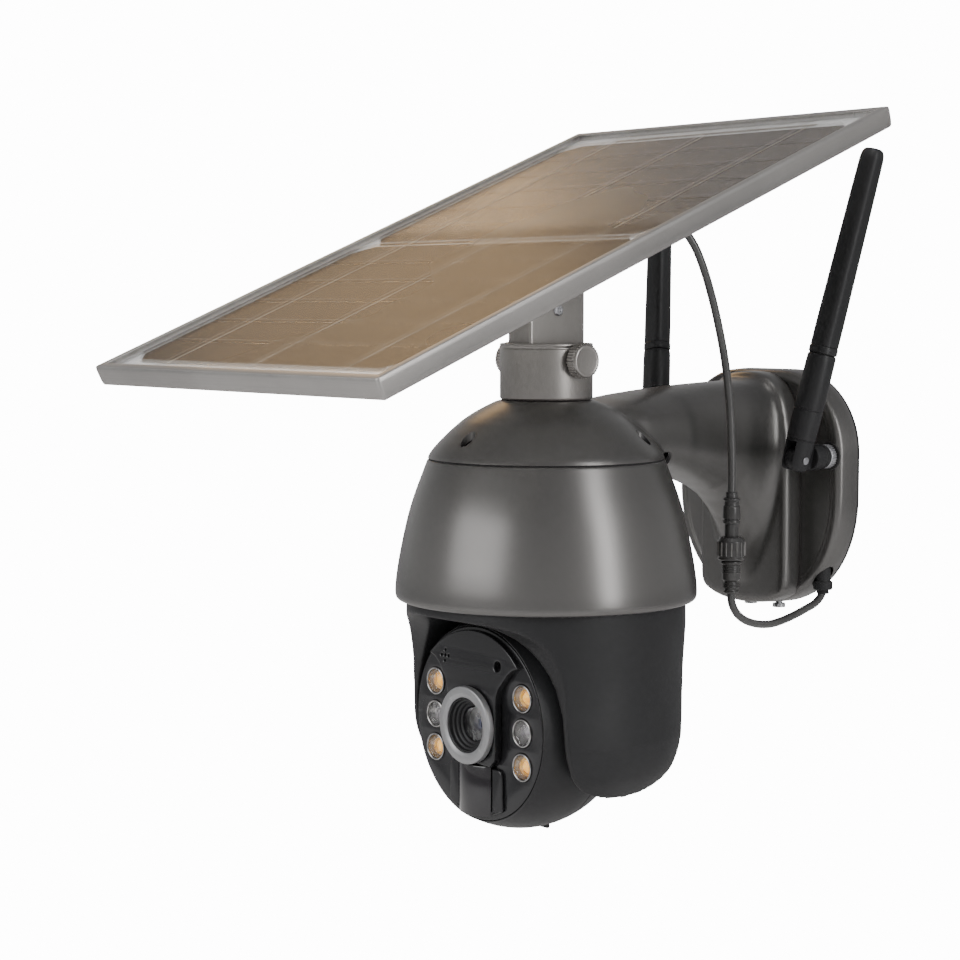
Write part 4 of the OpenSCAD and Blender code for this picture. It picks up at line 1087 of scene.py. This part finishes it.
def lamps():
    """Six cups: warm chips above and below, an infrared emitter between them, each under a clear cover."""
    cup = turned(eased([(2.2, 17.0), (5.9, 17.0), (6.0, 22.9), (5.95, 23.5), (5.5, 23.7), (5.15, 23.4),
                        (4.9, 22.4),
                        (3.2, 18.4), (2.2, 17.8)], 0.15, 2, closed=True), 48)
    points = [AT_FACE @ Vector((x, z, 0)) for x, z in LED_ROWS]
    cups = spread(moved(cup, FRONT), points, REFLECTOR)
    bars = [block((s * LED_X - 5, s * LED_X + 5), (-21, 21), (15, 16.6), 0.4) for s in (-1, 1)]
    cover = [(0, 24.5)] + [(5.0 * math.sin(a), 22.9 + 1.6 * math.cos(a)) for a in
                           (math.pi / 2 * k / 8 for k in range(1, 9))] + [(5.0, 22.5), (0, 22.1)]
    covers = spread(moved(turned(cover, 40), FRONT), points, CLEAR)
    piece("led_cups_and_covers", [(cups, REFLECTOR), (covers, CLEAR)] + [(moved(b, AT_FACE),
                                                                          BOARD) for b in bars],
          "ball", ["led_cups"])
    chip = plate([eased([(-2.4, -2.4), (2.4, -2.4), (2.4, 2.4), (-2.4, 2.4)], 1.0, 3, closed=True)], 17,
                 18.6, 0.3)
    bead = turned([(0, 21.4), (1.2, 21.2), (2.3, 20.5), (3.0, 19.4), (3.15, 18.6), (2.6, 18.1), (0, 17.6)],
                  32)
    points = [AT_FACE @ Vector((x, z, 0)) for x, z in LED_ROWS if z]
    # the warm chips carry the painted glow of the phosphor finish
    piece("warm_led_chips", [(spread(moved(bead, FRONT), points, PHOSPHOR_PAINTED_GLOW), PHOSPHOR_PAINTED_GLOW),
                             (spread(moved(chip, FRONT), points, NYLON), NYLON)], "ball",
          ["white_leds"])
    emitter = turned([(0, 21.0), (0.9, 20.8), (1.7, 20.2), (2.3, 19.2), (2.5, 18), (2.5, 17.4), (0, 17.4)],
                     32)
    points = [AT_FACE @ Vector((x, z, 0)) for x, z in LED_ROWS if not z]
    piece("infrared_led_beads", [(spread(moved(emitter, FRONT), points, IR_CHIP), IR_CHIP)], "ball",
          ["ir_leds"])


def card_door():
    """Rubber door over the card slot, on its rolled hinge, with a finger lip."""
    prof = sphere_arc(47.3, 46.9, -46.9, 110)
    outer = turned([(0, 47.3)] + prof + [(0, -47.3)], 160, "Y")
    inner = turned([(0, 45.0)] + sphere_arc(45.0, 44.6, -44.6, 90) + [(0, -45.0)], 140, "Y")
    leaf = combined(block((-13.7, 13.7), (5, 60), (-25.4, -8.8), 0.9), outer, "INTERSECT")
    leaf = combined(leaf, inner)
    roll = moved(turned(eased([(0, -13.7), (1.1, -13.7), (1.1, 13.7), (0, 13.7)], 0.3), 24, "X"),
                 Matrix.Translation((0, 38.2, -26)))
    lip = block((-5, 5), (45.4, 47.0), (-11.0, -9.6), 0.4)
    parts = [(moved(m, AT_BALL @ CARD_TURN), RUBBER) for m in (leaf, roll, lip)]
    return piece("card_door_leaf", parts, "card_cover", ["card_cover"])


def reset_cap():
    cap = turned(eased([(0, 40.8), (4.4, 40.8), (4.4, 42.6), (3, 42.6), (3, 47.1), (2.5, 47.4), (1.6, 47.2),
                        (0, 46.9)],
                       0.25), 48, "Y")
    return piece("reset_button_cap", [(moved(cap, AT_BALL @ Matrix.Rotation(math.radians(-20), 4, "X")),
                                       RUBBER)],
                 "reset_button", ["reset_button"])


face_plate()
raised_plate()
lens_parts()
motion_window()
lamps()
card_door()
reset_cap()


# ---------------------------------------------------------------- mast
def mast():
    prof = [(0, 31), (15.5, 31), (15.5, 36.2), (12, 36.2), (12, 44.2), (19.2, 44.2), (20, 45.1), (20, 65.9),
            (19.6, 66.2), (19.45, 66.6), (19.6, 67.0), (20, 67.3), (20, 68.1), (19.6, 68.5), (18.2, 68.5),
            (17.8, 68.2), (17.8, 48.3), (0, 48.3)]
    ring = turned(eased(prof, [0, .3, .3, .2, .2, .5, .5, .3, .1, .2, .1, .2, .3, .4, .3, .2, .2, 0], 3),
                  160)
    hole = turned([(0, -30), (3.1, -30), (3.1, 30), (0, 30)], 32, "X")
    ring = combined(ring, moved(hole, Matrix.Translation((0, 0, THUMB_Z))))
    piece("mast_collar", [(moved(ring, AT_DOME), WARM_METAL)], "mast", ["collar"])

    outer = box_outline(15, 31, 1.3, steps=4)
    hollow = box_outline(10, 26, 0.8, steps=3)
    tube = plate([outer, hollow], 48.4, 90.4, 0.25)
    side = [(-15.5, 90.2), (15.5, 90.2), (15.5, 92), (8.6, 99.6)]
    side += [(7.5 * math.cos(a), HINGE_Z + 7.5 * math.sin(a)) for a in
             (math.pi * k / 20 for k in range(21))] + [(-8.6, 99.6), (-15.5, 92)]
    side = eased(side, [0.2, 0.2, 1.2, 0.4] + [0] * 21 + [0.4, 1.2], 3, closed=True)
    pin = round_outline(3.05, (0, HINGE_Z), 32)
    head = moved(plate([side, pin], -7.5, 7.5, 0.9, 3), ALONG_X)
    bolt = moved(turned(eased([(0, 6.8), (2.5, 6.8), (2.5, 8.0), (1.9, 8.55), (0.9, 8.6), (0.8, 8.1),
                               (0, 8.1)], 0.15),
                        40, "X"), Matrix.Translation((0, 0, 82.5)))
    foot = block((-7.3, 7.3), (-15.3, 15.3), (48.3, 49.4), 0.3)
    parts = [(moved(m, AT_DOME), WARM_METAL) for m in (tube, head, foot)] + [(moved(bolt, AT_DOME), STEEL)]
    piece("mast_post", parts, "mast", ["post"])


def thumb_screw(side, name, node_name):
    """Knurled hand screw with a dished face and a plain shank."""
    head = turned(eased([(0, 7.9), (2.6, 7.9), (3, 8.3), (3, 20.2), (4.6, 20.2), (4.6, 20.9), (6.9, 20.9),
                         (7.15, 21.3),
                         (7.15, 25.4), (6.7, 26.1), (6.0, 26.35), (5.4, 26.1), (0, 25.75)], 0.2, 2), 72, "X")
    at = AT_DOME @ Matrix.Translation((0, 0, THUMB_Z)) @ Matrix.Scale(side, 4, (1, 0, 0))
    grips = ribs(34, 7.12, 0.4, 4.0, WARM_METAL, at @ Matrix.Translation((23.3, 0, 0)) @ X_AXIS)
    piece(name, [(moved(head, at), WARM_METAL), (grips, WARM_METAL)], name.replace("_head", ""),
          [node_name])


mast()
thumb_screw(1, "thumb_screw_right_head", "thumb_screw_right")
thumb_screw(-1, "thumb_screw_left_head", "thumb_screw_left")


# ---------------------------------------------------------------- solar panel
def frame_loop(inset, z, r):
    w, l = PANEL_W - 2 * inset, PANEL_L - 2 * inset
    pts = box_outline(w, l, r, steps=4) if r > 0.3 else box_outline(w, l, 0.3, steps=4)
    return [(x, y, z) for x, y in pts]


def panel_frame():
    """Drawn rail round the glass: drafted side, rolled lip on top, flange below."""
    prof = [(4.0, 0.1), (4.0, 0.55), (3.7, 0.8), (0.9, 0.8), (0.35, 0.6), (0.05, 0.1), (0.0, -1.2),
            (0.3, -5.4),
            (0.6, -7.2), (1.0, -7.9), (1.6, -8.2), (7.5, -8.2), (7.5, -7.3), (2.4, -7.2), (2.2, -4.4),
            (1.6, -4.2),
            (1.55, 0.02)]
    loops = [frame_loop(d, z, max(0.3, 1.6 - d)) for d, z in prof]
    k = len(loops[0])
    verts = [p for loop in loops for p in loop]
    faces = []
    for j in range(len(loops)):
        a, b = j * k, ((j + 1) % len(loops)) * k
        faces += [(a + i, a + (i + 1) % k, b + (i + 1) % k, b + i) for i in range(k)]
    rail = moved(shell_of(verts, faces, merge=0.0001), AT_PANEL)
    ob = piece("panel_rail", [(rail, RAIL)], "panel", ["panel_frame"])
    ob.data.materials.append(RAIL_END)
    inverse = AT_PANEL.inverted()
    for f in ob.data.polygons:
        c = inverse @ (f.center * 1000)
        f.material_index = 0 if PANEL_L / 2 - abs(c.y) < PANEL_W / 2 - abs(c.x) else 1
    corners = []
    for sx in (-1, 1):
        for sy in (-1, 1):
            key = [(sx * (PANEL_W / 2 - 2.2), sy * (PANEL_L / 2 - 12)), (sx * (PANEL_W / 2 - 2.2),
                                                                         sy * (PANEL_L / 2 - 2.2)),
                   (sx * (PANEL_W / 2 - 12), sy * (PANEL_L / 2 - 2.2)), (sx * (PANEL_W / 2 - 12),
                                                                         sy * (PANEL_L / 2 - 4)),
                   (sx * (PANEL_W / 2 - 4), sy * (PANEL_L / 2 - 4)), (sx * (PANEL_W / 2 - 4),
                                                                      sy * (PANEL_L / 2 - 12))]
            corners.append((moved(plate([key], -7.1, -4.5, 0.15, 1), AT_PANEL), STEEL))
    piece("panel_corner_keys", corners, "panel")


def cell_finish():
    """Dark silicon with its fine printed fingers, read from the strip's own map in metres."""
    mat = bpy.data.materials.new("silicon_cells")
    mat.use_nodes = True
    t = mat.node_tree
    t.nodes.clear()
    out = node(t, "ShaderNodeOutputMaterial")
    skin = node(t, "ShaderNodeBsdfPrincipled")
    t.links.new(skin.outputs[0], out.inputs[0])
    uv = node(t, "ShaderNodeUVMap", uv_map="strip").outputs[0]
    split = node(t, "ShaderNodeSeparateXYZ")
    t.links.new(uv, split.inputs[0])
    saw = times(t, times(t, split.outputs[1], 1 / 0.00158), 1.0, "FRACT")
    near = times(t, times(t, saw, 0.5, "SUBTRACT"), 1.0, "ABSOLUTE")
    finger = remap(t, near, 0.42, 0.47)
    grain = placed(t, GRAIN, Broad=9.0, Fine=700.0)
    t.links.new(node(t, "ShaderNodeTexCoord").outputs["Object"], grain.inputs["Vector"])
    base = mixed(t, grain.outputs["Tone"], (0.040, 0.025, 0.013), (0.027, 0.017, 0.009))
    colour = mixed(t, times(t, finger, 0.55), base, (0.20, 0.165, 0.115))
    t.links.new(colour, skin.inputs["Base Color"])
    t.links.new(remap(t, finger, 0, 1, 0.30, 0.45, smooth=False), skin.inputs["Roughness"])
    lump = node(t, "ShaderNodeBump")
    lump.inputs["Strength"].default_value = 0.2
    lump.inputs["Distance"].default_value = 0.00005
    t.links.new(finger, lump.inputs["Height"])
    t.links.new(lump.outputs[0], skin.inputs["Normal"])
    skin.inputs["Metallic"].default_value = 0.35
    skin.inputs["Specular IOR Level"].default_value = 0.4
    return mat


CELLS = cell_finish()
RIBBON = finish("solder_ribbon", (0.50, 0.46, 0.40), (0.40, 0.37, 0.32), (0.3, 0.4), metal=0.7, broad=60,
                fine=1500,
                bump=0.2, height=0.00004)


def strip_mesh(chamfer_low=0.0, chamfer_high=0.0, w=182.0, h=21.45):
    """One cut strip; the wafer's clipped corners show on the strips at its ends."""
    x, c0, c1 = w / 2, chamfer_low, chamfer_high
    pts = [(-x + c0, 0), (x - c0, 0), (x, c0 * 0.92), (x, h - c1 * 0.92), (x - c1, h), (-x + c1, h),
           (-x, h - c1 * 0.92), (-x, c0 * 0.92)]
    seen = []
    for p in pts:
        if not seen or (Vector(p) - Vector(seen[-1])).length > 1e-6:
            seen.append(p)
    if (Vector(seen[0]) - Vector(seen[-1])).length < 1e-6:
        seen.pop()
    return plate([seen], -2.45, -2.2, 0.04, 1)


def cell_field():
    pitch, rows = 22.05, []
    for start in (-133.0, 0.8):
        rows.append(moved(strip_mesh(8.6, 0), Matrix.Translation((0, start, 0))))
        rows.append(row_of(strip_mesh(), 4, (0, start + pitch, 0), (0, pitch, 0), CELLS))
        rows.append(moved(strip_mesh(0, 8.6), Matrix.Translation((0, start + 5 * pitch - 0.05, 0))))
    field = joined(rows)
    layer = field.uv_layers.new(name="strip")
    for loop in field.loops:
        p = field.vertices[loop.vertex_index].co
        layer.data[loop.index].uv = (p.x, p.y)
    bar = block((-0.55, 0.55), (-133.4, 133.4), (-2.21, -2.08), 0.04)
    bars = row_of(bar, 3, (-182 / 3, 0, 0), (182 / 3, 0, 0), RIBBON)
    ends = [block((-63, 63), (s * 137.4 - 1.1, s * 137.4 + 1.1), (-2.5, -2.3), 0.05) for s in (-1, 1)]
    parts = [(moved(field, AT_PANEL), CELLS), (moved(bars, AT_PANEL), RIBBON)]
    parts += [(moved(e, AT_PANEL), RIBBON) for e in ends]
    piece("solar_cell_field", parts, "panel", ["cell_sheet"])


def panel_back():
    """Junction box, hinge plate, its ears, bolt and nuts under the panel."""
    box = block((-22, 22), (48, 88), (-14.2, -4.1), 1.3)
    lid = block((-20.8, 20.8), (49.2, 86.8), (-15.6, -14.0), 0.8)
    screws = turned(eased([(0, -16.3), (1.6, -16.2), (2.1, -15.7), (2.1, -15), (0, -15)], 0.2), 32)
    slot = block((-1.6, 1.6), (-0.3, 0.3), (-17, -15.9), 0.05)
    screws = combined(screws, slot)
    points = [AT_PANEL @ Vector((sx * 17.6, 68 + sy * 15.6, -15.6)) for sx in (-1, 1) for sy in (-1, 1)]
    tilt = (math.radians(PANEL_A), 0, 0)
    lid_screws = spread(moved(screws, Matrix.Translation((0, 0, 15.6))), points, STEEL, tilt)
    neck = turned(eased([(1.9, 21), (3.9, 21), (3.9, 23.4), (3.2, 23.6), (3.2, 24.2), (2.8, 24.3), (2.8, 25),
                         (3.2, 25.1),
                         (3.2, 25.8), (2.7, 25.9), (2.6, 27), (1.9, 27)], 0.1, 2, closed=True), 48, "X")
    neck = moved(neck, Matrix.Translation((0, 60.5, -10)))
    ribs_low = [block((-18, 18), (y - 0.5, y + 0.5), (-16.1, -15.4), 0.2) for y in (62, 65, 68, 71, 74)]
    parts = [(moved(m, AT_PANEL), BLACK) for m in [box, lid, neck] + ribs_low] + [(lid_screws, STEEL)]
    piece("junction_box_case", parts, "panel", ["junction_box"])

    holes = [round_outline(1.7, (sx * 15, 21.7 + sy * 18), 24) for sx in (-1, 1) for sy in (-1, 1)]
    flat = plate([box_outline(38, 44, 3.0, (0, 21.7))] + holes, -6.6, -4.1, 0.35, 3)
    parts = [(moved(flat, AT_PANEL), WARM_METAL)]
    ear = eased([(-14, 16.6), (-6.9, 1.4)], 0) + [(7 * math.cos(a), 7 * math.sin(a)) for a in
                                                 (math.pi + math.pi * k / 20 for k in range(21))] + [(6.9,
                                                                                                      1.4),
                                                                                                     (14,
                                                                                                      16.6)]
    for s in (-1, 1):
        cheek = moved(plate([ear, round_outline(3.05, n=32)], s * 9.3 - 1.5, s * 9.3 + 1.5, 0.35, 2),
                      ALONG_X)
        web = block((s * 9.3 - 1.4, s * 9.3 + 1.4), (-13.8, 13.8), (15.6, 16.5), 0.2)
        parts += [(moved(cheek, AT_HINGE), WARM_METAL), (moved(web, AT_HINGE), WARM_METAL)]
    shank = turned(eased([(0, -13.8), (3, -13.8), (3, 13.8), (0, 13.8)], 0.4), 40, "X")
    bolt_head = turned(eased([(0, 10.9), (5, 10.9), (5, 13.2), (4.2, 14), (2.4, 14), (2.3, 12.8), (0, 12.8)],
                             0.25), 56, "X")
    hexed = [(5.3 * math.cos(a), 5.3 * math.sin(a)) for a in (math.pi / 3 * k for k in range(6))]
    nut_low = moved(plate([hexed], -14, -10.9, 0.5, 2), ALONG_X)
    parts += [(moved(m, AT_HINGE), STEEL) for m in (shank, bolt_head, nut_low)]
    screw = turned(eased([(0, -8.1), (2.0, -8.0), (2.9, -7.4), (2.9, -6.7), (0, -6.7)], 0.25), 40)
    points = [AT_PANEL @ Vector((sx * 15, 21.7 + sy * 18, 0)) for sx in (-1, 1) for sy in (-1, 1)]
    parts.append((spread(screw, points, STEEL, tilt), STEEL))
    piece("panel_hinge_bracket", parts, "panel", ["hinge_bracket"])


panel_frame()
cell_field()
panel_back()


# ---------------------------------------------------------------- antennas
def at_antenna(side):
    return Matrix.Translation((side * ANT_X, ANT_Y, ANT_Z)) @ Matrix.Rotation(side * math.radians(9), 4, "Y")


def socket_set():
    """Brass antenna sockets with their nuts and washers on the base."""
    parts = []
    for s in (-1, 1):
        at = Matrix.Translation((s * ANT_X, 0, ANT_Z))
        core = [(1.2, -17.6), (2.9, -17.6)]
        y = -17.2
        while y < -14.6:
            core += [(3.2, y + 0.1), (2.95, y + 0.35)]
            y += 0.5
        core += [(3.2, -14.4), (3.2, -10.4), (4.6, -10.4), (4.6, -8.4), (3.2, -8.4), (3.2, -7), (1.2, -7)]
        parts.append((moved(turned(core, 48, "Y"), at), BRASS))
        washer = turned(eased([(3.3, -14.35), (6.3, -14.35), (6.3, -13.45), (3.3, -13.45)], 0.2,
                              closed=True), 56, "Y")
        parts.append((moved(washer, at), RUBBER))
    piece("antenna_sockets", parts, "base", ["sma_sockets"])


def antenna_knuckle(side, name):
    """Coupling nut, swivel barrel, tongue and pin; the nut is metal."""
    at = at_antenna(side)
    nut_ring = turned(eased([(3.26, 18.0), (5.0, 18.0), (5.35, 18.4), (5.35, 21.1), (5.0, 21.4),
                             (3.26, 21.4)],
                            0.15, closed=True), 64, "Y")
    grips = ribs(30, 5.32, 0.26, 2.6, STEEL, at @ Matrix.Translation((0, 19.8, 0)) @ Y_AXIS)
    barrel = turned(eased([(0, 8.4), (5.5, 8.4), (5.9, 8.9), (5.9, 14.2), (5.5, 14.8), (4.9, 15.1),
                           (4.9, 15.5), (5.3, 15.8),
                           (5.3, 17.6), (4.9, 17.9), (3.26, 17.9), (3.26, 17), (0, 17)], 0.2, 2), 72, "Y")
    parts = [(moved(nut_ring, at), STEEL), (grips, STEEL), (moved(barrel, at), BLACK)]
    side_line = [(9.3, -4.9)] + [(4.9 * math.cos(a), 4.9 * math.sin(a)) for a in
                                 (math.radians(270 - 180 * j / 18) for j in range(19))] + [(9.3, 4.9)]
    tongue = plate([side_line, round_outline(1.75, n=24)], -2.5, 2.5, 0.4, 2)
    parts.append((moved(moved(tongue, ALONG_X), at), BLACK))
    pin = turned(eased([(0, -6.2), (1.7, -6.2), (1.7, -5.7), (1.5, -5.5), (1.5, 5.5), (1.7, 5.7), (1.7, 6.2),
                        (0, 6.2)],
                       0.15), 32, "X")
    parts.append((moved(pin, at), STEEL))
    piece(name + "_knuckle", parts, name, [name])


def antenna_whip(side, name):
    """Flattened, slightly tapered blade on a round sleeve whose slotted foot straddles the tongue."""
    at = at_antenna(side) @ Matrix.Rotation(math.radians(-10), 4, "X")

    def ring(z, a, b, n, k=48):
        out = []
        for i in range(k):
            t = 2 * math.pi * (i + 0.5) / k
            c, s = math.cos(t), math.sin(t)
            out.append((math.copysign(abs(c) ** (2 / n), c) * a, math.copysign(abs(s) ** (2 / n), s) * b, z))
        return out
    sleeve = lofted([ring(*r) for r in (
        (-5.6, 3.2, 3.2, 2), (-5.3, 4.6, 4.6, 2), (-4.4, 5.5, 5.5, 2), (-2.5, 5.9, 5.9, 2), (8.3, 6.3, 6.3,
                                                                                             2),
        (8.45, 6.1, 6.1, 2), (8.75, 6.1, 6.1, 2), (8.9, 6.4, 6.4, 2), (22.0, 6.55, 6.55, 2),
        (22.15, 6.35, 6.35, 2), (22.45, 6.35, 6.35, 2), (22.6, 6.55, 6.55, 2), (34, 6.5, 6.4, 2.1),
        (42, 6.35, 6.1, 2.3), (46.6, 6.15, 5.8, 2.5), (47.4, 5.9, 5.5, 2.6), (47.8, 5.3, 5.0, 2.6))])
    sleeve = combined(sleeve, block((-2.9, 2.9), (-9, 9), (-9, 7.5), 0.05))
    sleeve = combined(sleeve, turned([(0, -9), (1.8, -9), (1.8, 9), (0, 9)], 24, "X"))
    band = lofted([ring(*r) for r in (
        (47.6, 5.2, 4.9, 2.6), (48.0, 5.9, 5.5, 2.6), (48.3, 6.1, 5.7, 2.6), (50.8, 6.1, 5.7, 2.6),
        (51.2, 5.9, 5.5, 2.6), (51.5, 5.3, 5.0, 2.6))])
    blade = lofted([ring(*r) for r in (
        (50.9, 5.2, 4.7, 3), (51.5, 5.7, 5.2, 3.2), (60, 5.7, 5.1, 3.4), (90, 5.45, 4.8, 3.4), (120, 5.2,
                                                                                                4.45, 3.4),
        (136, 5.05, 4.3, 3.2), (138.6, 4.8, 4.05, 3), (140.1, 4.2, 3.5, 2.8), (140.8, 3.3, 2.8, 2.6),
        (141, 2.0, 1.7, 2.4))])
    parts = [(moved(m, at), BLACK) for m in (sleeve, band, blade)]
    piece(name + "_whip", parts, name, [name])


socket_set()
for one, word in ((1, "right"), (-1, "left")):
    antenna_knuckle(one, "antenna_base_" + word)
    antenna_whip(one, "antenna_" + word)


# ---------------------------------------------------------------- finishes of the frame's own solids
CARRIED = {
    STEEL: ("wall_plate", "lock_screws", "modem_module", "pan_motor", "pan_bracket", "pan_bearing",
            "tilt_axle_left", "tilt_axle_right", "tilt_motor", "card_reader"),
    RUBBER: ("wall_gasket", "seam_gasket"),
    WRAP: ("battery_cells",),
    BLACK: ("battery_clip", "speaker"),
    BOARD: ("main_board", "sensor_board"),
    BRASS: ("pan_pinion", "tilt_pinion"),
    NYLON: ("pan_gear", "tilt_gear"),
    GLASS: ("panel_glass",),
    SHEET: ("back_sheet",),
}
for mat, names in CARRIED.items():
    for n in names:
        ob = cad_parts[n]
        for s in ob.material_slots:
            s.material = mat


# ---------------------------------------------------------------- studio
def studio():
    me = bpy.data.meshes.new("studio_floor")
    r, n = 30.0, 64
    me.from_pydata([(r * math.cos(2 * math.pi * k / n), r * math.sin(2 * math.pi * k / n), -0.42)
                    for k in range(n)], [], [tuple(range(n))])
    floor = as_object(me, "studio_floor")
    pale = bpy.data.materials.new("pale_floor")
    pale.use_nodes = True
    t = pale.node_tree
    skin = t.nodes["Principled BSDF"]
    skin.inputs["Base Color"].default_value = (0.8, 0.8, 0.8, 1)
    skin.inputs["Roughness"].default_value = 0.9
    skin.inputs["Specular IOR Level"].default_value = 0.1
    glow, choose = node(t, "ShaderNodeEmission"), node(t, "ShaderNodeMixShader")
    glow.inputs["Strength"].default_value = 14.0
    paths = node(t, "ShaderNodeLightPath")
    t.links.new(paths.outputs["Is Camera Ray"], choose.inputs[0])
    t.links.new(skin.outputs[0], choose.inputs[1])
    t.links.new(glow.outputs[0], choose.inputs[2])
    t.links.new(choose.outputs[0], t.nodes["Material Output"].inputs[0])
    me.materials.append(pale)

    world = bpy.data.worlds.new("studio_air")
    bpy.context.scene.world = world
    world.use_nodes = True
    t = world.node_tree
    t.nodes.clear()
    out = node(t, "ShaderNodeOutputWorld")
    seen, lit = node(t, "ShaderNodeBackground"), node(t, "ShaderNodeBackground")
    seen.inputs[0].default_value, seen.inputs[1].default_value = (1, 1, 1, 1), 14.0
    lit.inputs[1].default_value = 1.0
    coord = node(t, "ShaderNodeTexCoord").outputs["Generated"]
    split = node(t, "ShaderNodeSeparateXYZ")
    t.links.new(coord, split.inputs[0])
    sky = remap(t, split.outputs[2], -0.15, 0.75)
    shade = mixed(t, sky, (0.62, 0.62, 0.62), (0.30, 0.30, 0.31))
    t.links.new(shade, lit.inputs[0])
    paths = node(t, "ShaderNodeLightPath")
    mix = node(t, "ShaderNodeMixShader")
    t.links.new(paths.outputs["Is Camera Ray"], mix.inputs[0])
    t.links.new(lit.outputs[0], mix.inputs[1])
    t.links.new(seen.outputs[0], mix.inputs[2])
    t.links.new(mix.outputs[0], out.inputs[0])

    def lamp(name, at, aim, size, power, colour=(1, 1, 1)):
        data = bpy.data.lights.new(name, "AREA")
        data.shape, data.size, data.size_y = "RECTANGLE", size[0], size[1]
        data.energy, data.color = power, colour
        ob = bpy.data.objects.new(name, data)
        ob.location = Vector(at)
        ob.rotation_euler = (Vector(aim) - Vector(at)).to_track_quat("-Z", "Y").to_euler()
        bpy.context.scene.collection.objects.link(ob)

    mid = (0, -0.14, 0)
    lamp("key_softbox", (-0.2, -1.8, 0.9), mid, (1.5, 1.5), 28)
    lamp("right_strip", (1.5, 0.05, 0.5), mid, (0.3, 1.4), 12)
    lamp("top_softbox", (0.3, -0.6, 1.7), mid, (1.3, 1.3), 14)
    lamp("warm_glow", (-1.05, 0.30, 0.80), (0, -0.2, 0.12), (0.45, 0.35), 1.3, (1.0, 0.62, 0.26))


studio()
